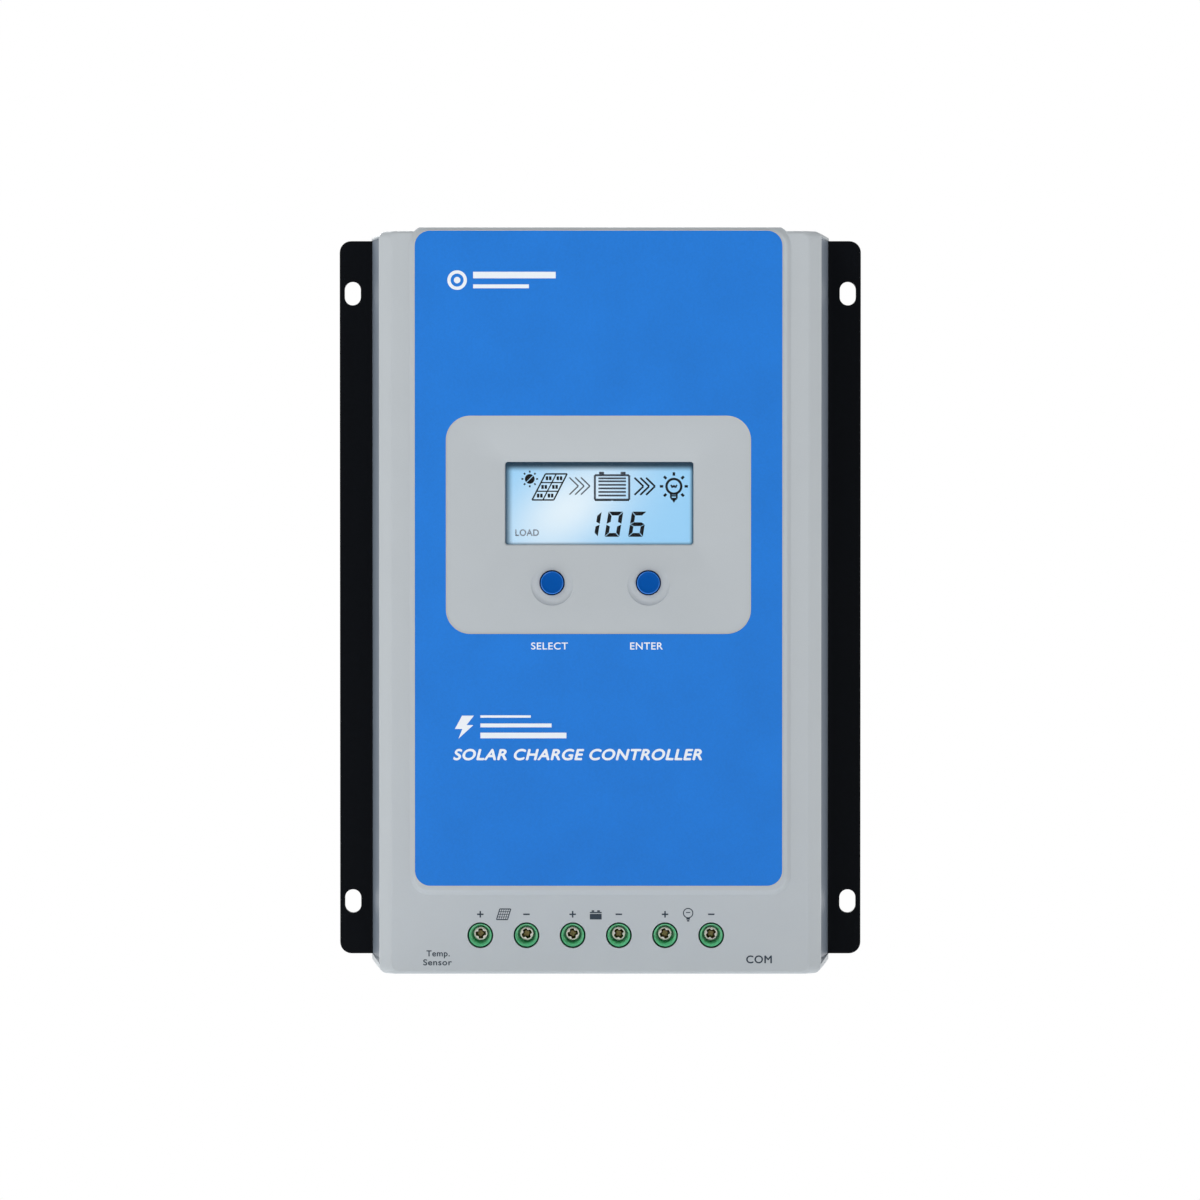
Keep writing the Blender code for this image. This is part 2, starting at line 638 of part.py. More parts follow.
def terminal_block(number):
    """One green block of two ways: cavities for the cages, tubes over the screws, wire entries."""
    name = f"terminal_block_{BLOCK_NAMES[number]}"
    ways = [way_x(2 * number), way_x(2 * number + 1)]
    middle = sum(ways) / 2
    width = around(TERMINAL_PITCH - GAP / 2, middle)
    block = box_piece(name, width, BLOCK_Y, (ON_BOARD, BLOCK_TOP), "green_plastic")
    tubes, bores, cavities, entries = (bmesh.new() for _ in range(4))
    for x in ways:
        low, centre = BLOCK_TOP - OVERRUN, (x, TERMINAL_Y)
        add_turned(tubes, [(TUBE_RADIUS, low), (TUBE_RADIUS, TUBE_TOP)], centre)
        low, high = CAVITY_Z[1] - OVERRUN, TUBE_TOP + OVERRUN
        widest = FUNNEL_RADIUS + (FUNNEL_RADIUS - BORE_RADIUS) * OVERRUN / (TUBE_TOP - FUNNEL_Z)
        add_turned(bores, [(BORE_RADIUS, low), (BORE_RADIUS, FUNNEL_Z), (widest, high)], centre)
        add_box(cavities, around(CAVITY_HALF_WIDTH, x), (CAVITY_Y, BLOCK_Y[1] + OVERRUN), CAVITY_Z)
        add_box(entries, around(ENTRY_HALF_WIDTH, x), (BLOCK_Y[0] - OVERRUN, CAVITY_Y + OVERRUN), ENTRY_Z)
    combine(block, "tubes", tubes, "UNION")
    combine(block, "bores", bores, "DIFFERENCE")
    combine(block, "cavities", cavities, "DIFFERENCE")
    combine(block, "entries", entries, "DIFFERENCE")


def terminal_way(way):
    """The screw, rising cage and fixed contact of one way."""
    x = way_x(way)
    head_low, head_high = SCREW_HEAD_Z
    edge = 0.0003
    profile = [
        (SCREW_SHANK_RADIUS, CONTACT_Z[1] + GAP),
        (SCREW_SHANK_RADIUS, head_low),
        (SCREW_HEAD_RADIUS, head_low),
        (SCREW_HEAD_RADIUS, head_high - edge),
        (SCREW_HEAD_RADIUS - edge, head_high),
    ]
    bm = bmesh.new()
    add_turned(bm, profile)
    screw = placed(f"terminal_screw_{way + 1}", bm, "nickel", (x, TERMINAL_Y, 0))
    cross_recess(screw, (x, TERMINAL_Y), (head_high - 0.0011, head_high + OVERRUN), 0.0018, 0.001)

    half_x, half_y = CAGE_HALF
    bm = bmesh.new()
    add_box(bm, (-half_x, half_x), (-half_y, half_y), CAGE_Z)
    cage = placed(f"terminal_cage_{way + 1}", bm, "nickel", (x, TERMINAL_Y, 0))
    bm = bmesh.new()
    inside = (CAGE_Z[0] + CAGE_BAR, CAGE_Z[1] - CAGE_BAR)
    add_box(bm, around(half_x - CAGE_WALL, x), around(half_y + OVERRUN, TERMINAL_Y), inside)
    combine(cage, "inside", bm, "DIFFERENCE")
    through = (inside[1] - OVERRUN, CAGE_Z[1] + OVERRUN)
    round_holes(cage, "screw_hole", [(x, TERMINAL_Y)], SCREW_SHANK_RADIUS + GAP, through)

    outline = [
        (CONTACT_Y[0], CONTACT_Z[0]),
        (CONTACT_Y[1] - CONTACT_LEG, CONTACT_Z[0]),
        (CONTACT_Y[1] - CONTACT_LEG, CONTACT_FOOT),
        (CONTACT_Y[1], CONTACT_FOOT),
        (CONTACT_Y[1], CONTACT_Z[1]),
        (CONTACT_Y[0], CONTACT_Z[1]),
    ]
    bm = bmesh.new()
    add_swept(bm, outline, x - CONTACT_HALF_WIDTH, x + CONTACT_HALF_WIDTH, "X")
    placed(f"terminal_contact_{way + 1}", bm, "copper")


def sockets():
    """The data jack and the two-pin sensor socket in the bottom end."""
    jack = box_piece("data_jack", JACK_X, JACK_Y, (ON_BOARD, JACK_TOP), "black_plastic")
    middle, half, low, latch_low, latch_high = sum(JACK_X) / 2, 0.0059, 0.0372, 0.0446, 0.0464
    right = [(half, low), (half, latch_low), (0.0031, latch_low), (0.0031, latch_high)]
    outline = right + [(-x, z) for x, z in reversed(right)]
    bm = bmesh.new()
    add_swept(bm, [(middle + x, z) for x, z in outline], JACK_Y[0] - OVERRUN, -0.112, "Y")
    combine(jack, "plug_space", bm, "DIFFERENCE")
    socket = box_piece("sensor_socket", SOCKET_X, SOCKET_Y, (ON_BOARD, SOCKET_TOP), "green_plastic")
    wall = 0.0012
    bm = bmesh.new()
    space = (SOCKET_Y[0] - OVERRUN, -0.117)
    add_box(bm, (SOCKET_X[0] + wall, SOCKET_X[1] - wall), space, (ON_BOARD + wall, SOCKET_TOP - wall))
    combine(socket, "plug_space", bm, "DIFFERENCE")


def power_parts():
    """Transistors clamped to the heat sink, the capacitors and the wound inductors."""
    tab_top, body_end = 0.0323, 0.106
    low, high = TRANSISTOR_Z
    outline = [
        (TRANSISTOR_Y[0], low),
        (TRANSISTOR_Y[1], low),
        (TRANSISTOR_Y[1], tab_top),
        (body_end, tab_top),
        (body_end, high),
        (TRANSISTOR_Y[0], high),
    ]
    for number, x in enumerate(TRANSISTOR_X, 1):
        bm = bmesh.new()
        add_swept(bm, outline, x - 0.005, x + 0.005, "X")
        transistor = placed(f"power_transistor_{number}", bm, "black_plastic")
        bm = bmesh.new()
        for lead in (-1, 0, 1):
            lead_x = around(0.0004, x + lead * 0.00254)
            add_box(bm, lead_x, (0.0905, TRANSISTOR_Y[0] + 0.001), (0.03495, 0.03525))
        combine(transistor, "leads", bm, "UNION")

    clamp_screws = [(-CLAMP_X, CLAMP_Y), (CLAMP_X, CLAMP_Y)]
    pad = box_piece("thermal_pad", (-0.058, 0.058), (0.0955, 0.115), PAD_Z, "thermal_pad")
    round_holes(pad, "holes", clamp_screws, SCREW_HOLE, (PAD_Z[0] - OVERRUN, PAD_Z[1] + OVERRUN))
    clamp = box_piece("transistor_clamp", (-0.062, 0.062), around(0.003, CLAMP_Y), CLAMP_Z, "nickel")
    round_holes(clamp, "holes", clamp_screws, SCREW_HOLE, (CLAMP_Z[0] - OVERRUN, CLAMP_Z[1] + OVERRUN))
    for number, place in enumerate(clamp_screws, 1):
        machine_screw(f"clamp_screw_{number}", place, CLAMP_Z[1] + GAP)

    r, top, edge = CAPACITOR_RADIUS, CAPACITOR_TOP, 0.0007
    can = [(r, ON_BOARD), (r, top - edge), (r - edge, top)]
    for number, place in enumerate(CAPACITORS, 1):
        bm = bmesh.new()
        add_turned(bm, can)
        placed(f"capacitor_{number}", bm, "capacitor_sleeve", (*place, 0))
    for number, place in enumerate(INDUCTORS, 1):
        bm = bmesh.new()
        add_ring(bm, INDUCTOR_RING, INDUCTOR_SECTION, ON_BOARD + INDUCTOR_SECTION)
        placed(f"inductor_{number}", bm, "copper", (*place, 0))


def cover_screws():
    """The four screws driven from behind, between the fins, into the cover's bosses."""
    head, shank, seat, height, tip = 0.0033, 0.0016, PLATE_BOTTOM - GAP, 0.0023, 0.046
    profile = [
        (head * 0.75, seat - height),
        (head, seat - height * 0.6),
        (head, seat),
        (shank, seat),
        (shank, tip),
    ]
    for number, place in enumerate(COVER_SCREWS, 1):
        bm = bmesh.new()
        add_turned(bm, profile, segments=SMALL_SEGMENTS)
        screw = placed(f"cover_screw_{number}", bm, "nickel", (*place, 0))
        cross_recess(screw, place, (seat - height - OVERRUN, seat - height * 0.4))


def build():
    """Makes every piece under the empty that stands the controller up."""
    clear_scene()
    stand = bpy.data.objects.new("controller", None)
    stand.rotation_euler = (math.pi / 2, 0, 0)
    bpy.context.scene.collection.objects.link(stand)
    heat_sink()
    cover = cover_shell()
    hollow_cover(cover)
    open_cover(cover)
    front_label()
    display()
    button("select", -BUTTON_X)
    button("enter", BUTTON_X)
    ribbon_cable()
    main_board()
    for number in range(len(BLOCK_NAMES)):
        terminal_block(number)
    for way in range(WAYS):
        terminal_way(way)
    sockets()
    power_parts()
    cover_screws()


build()
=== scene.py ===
"""The looks of a wall-mounted solar charge controller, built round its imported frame.

Every shape is worked out in the panel frame, in millimetres: X to the right, Y up the wall and Z
out from the wall, with the origin on the wall at the middle of the mounting slots. The shapes are
stood up and scaled to metres as their meshes are made, so +Z is up and the front faces -Y.
"""

from __future__ import annotations

import logging
from dataclasses import dataclass
from enum import Enum

import bmesh
import bpy
import numpy as np
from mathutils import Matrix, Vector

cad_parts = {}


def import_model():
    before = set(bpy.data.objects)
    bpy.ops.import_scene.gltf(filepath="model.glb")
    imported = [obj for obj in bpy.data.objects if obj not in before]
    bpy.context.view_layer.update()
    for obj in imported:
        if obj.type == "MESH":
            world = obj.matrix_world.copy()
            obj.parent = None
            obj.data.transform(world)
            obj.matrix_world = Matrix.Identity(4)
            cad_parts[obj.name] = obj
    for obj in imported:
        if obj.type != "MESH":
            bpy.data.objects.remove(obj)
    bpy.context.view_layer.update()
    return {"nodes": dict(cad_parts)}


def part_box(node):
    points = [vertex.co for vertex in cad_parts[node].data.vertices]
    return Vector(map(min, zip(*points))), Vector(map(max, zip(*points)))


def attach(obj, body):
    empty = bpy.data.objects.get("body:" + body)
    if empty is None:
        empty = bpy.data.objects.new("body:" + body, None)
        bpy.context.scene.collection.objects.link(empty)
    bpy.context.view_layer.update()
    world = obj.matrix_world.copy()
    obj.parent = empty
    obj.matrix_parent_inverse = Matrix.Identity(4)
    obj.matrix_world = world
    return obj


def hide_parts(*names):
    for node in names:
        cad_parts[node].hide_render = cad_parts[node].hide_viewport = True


Array = np.ndarray
log = logging.getLogger("charge_controller")

MM = 0.001
BODY = "controller"
SMOOTH_BELOW = 32.0  # degrees: a sharper edge than this is shaded as an edge
OVERRUN = 2.0  # how far a cutting shape runs past the face that it cuts
DIGIT_LEAN = 0.16  # share of its height that a digit's top is moved sideways


# ---------------------------------------------------------------------------- panel frame


def to_world(points: Array) -> Array:
    """Stands panel points up: (x, y, z) millimetres become (x, -z, y) metres."""
    return points[..., [0, 2, 1]] * (MM, -MM, MM)


def node_box(node: str) -> tuple[Array, Array]:
    """Finds the room that a node of the frame takes up.

    Args:
        node: The node's name.

    Returns:
        Its lowest and highest corners in panel millimetres.
    """
    low, high = (np.array(corner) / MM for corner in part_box(node))
    return np.array([low[0], low[2], -high[1]]), np.array([high[0], high[2], -low[1]])


def node_middle(node: str) -> Array:
    """The middle of a frame node's box, in panel millimetres."""
    return np.mean(node_box(node), axis=0)


# ---------------------------------------------------------------------------- curves and loops


def arc(centre: tuple[float, float], radius: float, start: float, end: float, steps: int = 6) -> Array:
    """Points at equal angles round part of a circle.

    Args:
        centre: The circle's centre.
        radius: Its radius.
        start: The first point's angle in degrees, counter-clockwise from the first axis.
        end: The last point's angle.
        steps: How many steps the points are apart.

    Returns:
        An array (steps + 1, 2): the centre plus the radius times (cosine, sine) of each angle.
    """
    angle = np.radians(np.linspace(start, end, steps + 1))
    return np.array(centre) + radius * np.stack([np.cos(angle), np.sin(angle)], axis=-1)


def circles(profile: Array, centre: tuple[float, float] = (0.0, 0.0), segments: int = 64) -> Array:
    """Loops of a turned shape: point i of a loop is the radius at angle 360 i / segments.

    Args:
        profile: (radius, z) of each loop.
        centre: X and Y of the line that the shape is turned round.
        segments: Points in each loop.

    Returns:
        An array (loops, segments, 3).
    """
    radius, z = np.asarray(profile, float).T
    angle = np.arange(segments) * 2 * np.pi / segments
    x = centre[0] + radius[:, None] * np.cos(angle)
    y = centre[1] + radius[:, None] * np.sin(angle)
    return np.stack([x, y, np.broadcast_to(z[:, None], x.shape)], axis=-1)


def rounded_rectangles(
    half_x: Array | float,
    half_y: Array | float,
    radius: Array | float,
    z: Array | float,
    centre_x: Array | float = 0.0,
    centre_y: Array | float = 0.0,
    steps: int = 10,
) -> Array:
    """Loops round rectangles with arc corners, one loop for each value given.

    A corner's arc is centred where both half sizes are less by the radius, and its points are at
    equal angles over 90 degrees, so all loops have matching points.

    Args:
        half_x: Half widths.
        half_y: Half heights.
        radius: Corner radii.
        z: Heights above the wall.
        centre_x: X of the middles.
        centre_y: Y of the middles.
        steps: Steps in each corner.

    Returns:
        An array (loops, 4 * (steps + 1), 3).
    """
    given = (half_x, half_y, radius, z, centre_x, centre_y)
    spread = np.broadcast_arrays(*(np.atleast_1d(np.asarray(value, float)) for value in given))
    half_x, half_y, radius, z, centre_x, centre_y = (value[:, None, None] for value in spread)
    corner = np.arange(4)[None, :, None]
    angle = (corner + np.linspace(0, 1, steps + 1)) * np.pi / 2
    side_x = np.where((corner == 0) | (corner == 3), 1.0, -1.0)
    side_y = np.where(corner < 2, 1.0, -1.0)
    x = centre_x + side_x * (half_x - radius) + radius * np.cos(angle)
    y = centre_y + side_y * (half_y - radius) + radius * np.sin(angle)
    return np.stack([x, y, np.broadcast_to(z, x.shape)], axis=-1).reshape(len(z), -1, 3)


def softened(outline: Array, radius: Array | float, steps: int = 4) -> Array:
    """Rounds the corners of a closed outline.

    Each corner becomes a quadratic curve between the points that lie the tangent length of the
    radius along its two sides, cut to 0.45 of a short side.

    Args:
        outline: Corners (n, 2), in order.
        radius: One radius, or one for each corner.
        steps: Steps in each corner.

    Returns:
        The rounded outline (n * (steps + 1), 2).
    """
    before, after = np.roll(outline, 1, axis=0) - outline, np.roll(outline, -1, axis=0) - outline
    length_before = np.linalg.norm(before, axis=1, keepdims=True)
    length_after = np.linalg.norm(after, axis=1, keepdims=True)
    before, after = before / length_before, after / length_after
    cosine = np.clip(np.sum(before * after, axis=1, keepdims=True), -0.9999, 0.9999)
    reach = np.broadcast_to(np.asarray(radius, float), len(outline))[:, None]
    reach = reach * np.sqrt((1 + cosine) / (1 - cosine))
    reach = np.minimum(reach, 0.45 * np.minimum(length_before, length_after))
    start, end = outline + before * reach, outline + after * reach
    t = np.linspace(0, 1, steps + 1)[None, :, None]
    curve = (1 - t) ** 2 * start[:, None] + 2 * t * (1 - t) * outline[:, None] + t**2 * end[:, None]
    return curve.reshape(-1, 2)


def carried(outline: Array, places: Array, order: tuple[int, int, int] = (0, 1, 2)) -> Array:
    """Loops of an outline carried along a straight line.

    Args:
        outline: Points (n, 2) across the line.
        places: Distances along the line, one for each loop.
        order: Which of (across, up, along) gives each of panel X, Y and Z.

    Returns:
        An array (places, n, 3).
    """
    places = np.asarray(places, float)
    shape = (len(places), len(outline))
    across = np.broadcast_to(outline[None], (*shape, 2))
    along = np.broadcast_to(places[:, None, None], (*shape, 1))
    return np.concatenate([across, along], axis=-1)[..., list(order)]


ALONG_Y = (0, 2, 1)
ALONG_Z = (0, 1, 2)


# ---------------------------------------------------------------------------- solids


class Solid:
    """The points and faces of a shape in the panel frame, before it becomes a mesh."""

    def __init__(self) -> None:
        """Starts with nothing."""
        self.points: list[Array] = []
        self.faces: list[list[int]] = []
        self.count = 0

    def add(self, points: Array, faces: list[list[int]]) -> None:
        """Adds points and the faces between them.

        Args:
            points: Points (n, 3).
            faces: Lists of indices into those points.
        """
        self.faces += [[corner + self.count for corner in face] for face in faces]
        self.points.append(points)
        self.count += len(points)

    def sheet(self, grid: Array, round_rows: bool = False, round_columns: bool = False) -> Solid:
        """Adds a surface: a quad between every four neighbours of a grid.

        Args:
            grid: Points (rows, columns, 3).
            round_rows: True if the last row meets the first.
            round_columns: True if the last column meets the first.

        Returns:
            This solid.
        """
        rows, columns = grid.shape[:2]
        row = np.arange(rows if round_rows else rows - 1)[:, None]
        column = np.arange(columns if round_columns else columns - 1)[None, :]
        next_row, next_column = (row + 1) % rows, (column + 1) % columns
        corners = [
            row * columns + column,
            row * columns + next_column,
            next_row * columns + next_column,
            next_row * columns + column,
        ]
        quads = np.stack(corners, axis=-1).reshape(-1, 4)
        self.add(grid.reshape(-1, 3), quads.tolist())
        return self

    def loft(self, loops: Array) -> Solid:
        """Adds a closed body through loops, with a flat cap at each end.

        Args:
            loops: Points (levels, n, 3), in matching order.

        Returns:
            This solid.
        """
        first = self.count
        self.sheet(loops, round_columns=True)
        n = loops.shape[1]
        last = self.count - n
        self.faces += [list(range(first, first + n)), list(range(last, last + n))]
        return self

    def band(self, loops: Array) -> Solid:
        """Adds a closed band: loops whose last one meets the first, as round a tube's wall."""
        return self.sheet(loops, round_rows=True, round_columns=True)

    def plates(self, outlines: list[Array], low: float, high: float) -> Solid:
        """Adds flat plates with the given outlines between two heights above the wall.

        Args:
            outlines: The plates' outlines.
            low: Height of their undersides.
            high: Height of their tops.

        Returns:
            This solid.
        """
        for outline in outlines:
            self.loft(carried(outline, [low, high], ALONG_Z))
        return self

    def mesh(self, name: str) -> bpy.types.Mesh:
        """Makes a mesh in the world's frame, with its faces pointing outwards.

        Args:
            name: Its name.

        Returns:
            The mesh.
        """
        mesh = bpy.data.meshes.new(name)
        mesh.from_pydata(to_world(np.concatenate(self.points)).tolist(), [], self.faces)
        work = bmesh.new()
        work.from_mesh(mesh)
        bmesh.ops.remove_doubles(work, verts=work.verts, dist=1e-7)
        bmesh.ops.recalc_face_normals(work, faces=work.faces)
        work.to_mesh(mesh)
        work.free()
        return mesh


class Cut(Enum):
    """What a second shape does to the first."""

    AWAY = "DIFFERENCE"
    JOIN = "UNION"


def evaluated_mesh(obj: bpy.types.Object) -> bpy.types.Mesh:
    """A new mesh of an object as its modifiers leave it."""
    graph = bpy.context.evaluated_depsgraph_get()
    return bpy.data.meshes.new_from_object(obj.evaluated_get(graph))


def face_vectors(mesh: bpy.types.Mesh, kind: str) -> Array:
    """Reads the direction or the middle of every face of a mesh.

    Args:
        mesh: The mesh.
        kind: "normal" or "center".

    Returns:
        An array (faces, 3).
    """
    values = np.empty(len(mesh.polygons) * 3)
    mesh.polygons.foreach_get(kind, values)
    return values.reshape(-1, 3)


def link(name: str, mesh: bpy.types.ID) -> bpy.types.Object:
    """Puts a mesh or curve into the scene as an object at the origin.

    Args:
        name: The object's name.
        mesh: The mesh or curve.

    Returns:
        The object.
    """
    obj = bpy.data.objects.new(name, mesh)
    bpy.context.scene.collection.objects.link(obj)
    return obj


def carve(
    obj: bpy.types.Object, tool: Solid, cut: Cut = Cut.AWAY, material: bpy.types.Material | None = None
) -> None:
    """Cuts a shape away from an object, or joins it on, and keeps the result in its mesh.

    Args:
        obj: The object to change.
        tool: The second shape.
        cut: Whether it is cut away or joined on.
        material: What the new faces are made of, if not the object's own first material.
    """
    tool_object = link("tool", tool.mesh("tool"))
    modifier = obj.modifiers.new("cut", "BOOLEAN")
    if material:
        tool_object.data.materials.append(material)
        modifier.material_mode = "TRANSFER"
    modifier.operation = cut.value
    modifier.solver = "EXACT"
    modifier.object = tool_object
    old, made = obj.data, evaluated_mesh(obj)
    obj.modifiers.clear()
    obj.data = made
    bpy.data.objects.remove(tool_object)
    bpy.data.meshes.remove(old)


# ---------------------------------------------------------------------------- finishes


def srgb(red: float, green: float, blue: float) -> tuple[float, float, float, float]:
    """A linear colour from display values between 0 and 255, by the sRGB curve.

    Args:
        red: Display value of red.
        green: Display value of green.
        blue: Display value of blue.

    Returns:
        Linear red, green and blue, and an opacity of 1.
    """
    value = np.array([red, green, blue]) / 255
    linear = np.where(value <= 0.04045, value / 12.92, ((value + 0.055) / 1.055) ** 2.4)
    return (*linear.tolist(), 1.0)


def link_sockets(tree: bpy.types.NodeTree, *pairs: tuple) -> None:
    """Links each (output socket, input socket) pair."""
    for output, target in pairs:
        tree.links.new(output, target)


def grain_group() -> bpy.types.NodeTree:
    """The surface texture that all finishes share.

    Object coordinates times Stretch go through two noises, a fine one at Grain and a broad one at
    a thirtieth of it. The fine one gives the height; both vary the colour's strength by Mottle and
    the roughness by Spread.

    Returns:
        The node group, built once.
    """
    name = "surface_grain"
    if name in bpy.data.node_groups:
        return bpy.data.node_groups[name]
    tree = bpy.data.node_groups.new(name, "ShaderNodeTree")
    face = tree.interface
    for label, kind in (
        ("Color", "NodeSocketColor"),
        ("Roughness", "NodeSocketFloat"),
        ("Grain", "NodeSocketFloat"),
        ("Stretch", "NodeSocketVector"),
        ("Mottle", "NodeSocketFloat"),
        ("Spread", "NodeSocketFloat"),
    ):
        face.new_socket(label, in_out="INPUT", socket_type=kind)
    for label, kind in (
        ("Color", "NodeSocketColor"),
        ("Roughness", "NodeSocketFloat"),
        ("Height", "NodeSocketFloat"),
    ):
        face.new_socket(label, in_out="OUTPUT", socket_type=kind)
    nodes = tree.nodes
    given, result = nodes.new("NodeGroupInput"), nodes.new("NodeGroupOutput")
    coordinates = nodes.new("ShaderNodeTexCoord")
    stretch = nodes.new("ShaderNodeVectorMath")
    stretch.operation = "MULTIPLY"
    fine, broad = nodes.new("ShaderNodeTexNoise"), nodes.new("ShaderNodeTexNoise")
    fine.inputs["Detail"].default_value = 3.0
    broad.inputs["Detail"].default_value = 2.0
    broad_scale = maths(tree, "DIVIDE", given.outputs["Grain"], 30.0)
    both = maths(tree, "ADD", fine.outputs["Fac"], broad.outputs["Fac"])
    centred = maths(tree, "SUBTRACT", both, 1.0)
    mottled = maths(tree, "MULTIPLY_ADD", centred, given.outputs["Mottle"], 1.0)
    rough = maths(tree, "MULTIPLY_ADD", centred, given.outputs["Spread"], given.outputs["Roughness"])
    tint = nodes.new("ShaderNodeVectorMath")
    tint.operation = "SCALE"
    link_sockets(
        tree,
        (coordinates.outputs["Object"], stretch.inputs[0]),
        (given.outputs["Stretch"], stretch.inputs[1]),
        (stretch.outputs["Vector"], fine.inputs["Vector"]),
        (stretch.outputs["Vector"], broad.inputs["Vector"]),
        (given.outputs["Grain"], fine.inputs["Scale"]),
        (broad_scale, broad.inputs["Scale"]),
        (given.outputs["Color"], tint.inputs[0]),
        (mottled, tint.inputs["Scale"]),
        (tint.outputs["Vector"], result.inputs["Color"]),
        (rough, result.inputs["Roughness"]),
        (fine.outputs["Fac"], result.inputs["Height"]),
    )
    return tree


def maths(
    tree: bpy.types.NodeTree, operation: str, *values: bpy.types.NodeSocket | float
) -> bpy.types.NodeSocket:
    """Adds a Math node.

    Args:
        tree: The tree it goes into.
        operation: Its operation.
        values: A socket or a number for each of its inputs.

    Returns:
        Its output socket.
    """
    node = tree.nodes.new("ShaderNodeMath")
    node.operation = operation
    for socket, value in zip(node.inputs, values):
        if isinstance(value, (int, float)):
            socket.default_value = value
        else:
            tree.links.new(value, socket)
    return node.outputs[0]


@dataclass(frozen=True)
class Finish:
    """How one material looks.

    Attributes:
        name: The material's name.
        slot: The record's material slot that it belongs to.
        colour: Display values, 0 to 255.
        roughness: Middle roughness.
        metallic: 1 for bare metal.
        specular: Strength of the mirror reflection of a plastic or lacquer.
        coat: Weight of a clear gloss over it.
        grain: Grains in a metre.
        depth: Height of the grain in millimetres.
        mottle: Share by which the colour varies.
        spread: Share by which the roughness varies.
        stretch: Stretch of the grain's frequency along world X, Y and Z.
    """

    name: str
    slot: str
    colour: tuple[int, int, int]
    roughness: float = 0.5
    metallic: float = 0.0
    specular: float = 0.5
    coat: float = 0.0
    grain: float = 1800.0
    depth: float = 0.01
    mottle: float = 0.06
    spread: float = 0.08
    stretch: tuple[float, float, float] = (1.0, 1.0, 1.0)

    def material(self) -> bpy.types.Material:
        """The finish as a material, made once.

        Returns:
            The material.
        """
        if self.name in bpy.data.materials:
            return bpy.data.materials[self.name]
        material = bpy.data.materials.new(self.name)
        material.use_nodes = True
        tree = material.node_tree
        shader = tree.nodes["Principled BSDF"]
        shader.inputs["Metallic"].default_value = self.metallic
        shader.inputs["Specular IOR Level"].default_value = self.specular
        shader.inputs["Coat Weight"].default_value = self.coat
        shader.inputs["Coat Roughness"].default_value = 0.08
        group = tree.nodes.new("ShaderNodeGroup")
        group.node_tree = grain_group()
        group.inputs["Color"].default_value = srgb(*self.colour)
        group.inputs["Roughness"].default_value = self.roughness
        group.inputs["Grain"].default_value = self.grain
        group.inputs["Stretch"].default_value = self.stretch
        group.inputs["Mottle"].default_value = self.mottle
        group.inputs["Spread"].default_value = self.spread
        bump = tree.nodes.new("ShaderNodeBump")
        bump.inputs["Distance"].default_value = self.depth * MM
        link_sockets(
            tree,
            (group.outputs["Color"], shader.inputs["Base Color"]),
            (group.outputs["Roughness"], shader.inputs["Roughness"]),
            (group.outputs["Height"], bump.inputs["Height"]),
            (bump.outputs["Normal"], shader.inputs["Normal"]),
        )
        self.dress(tree, shader, group)
        return material

    def dress(self, tree: bpy.types.NodeTree, shader: bpy.types.Node, group: bpy.types.Node) -> None:
        """Adds what only this finish has; a plain finish adds nothing."""


@dataclass(frozen=True)
class Clear(Finish):
    """A clear moulding that light passes through."""

    def dress(self, tree: bpy.types.NodeTree, shader: bpy.types.Node, group: bpy.types.Node) -> None:
        """Lets light through."""
        shader.inputs["Transmission Weight"].default_value = 1.0
        shader.inputs["IOR"].default_value = 1.45


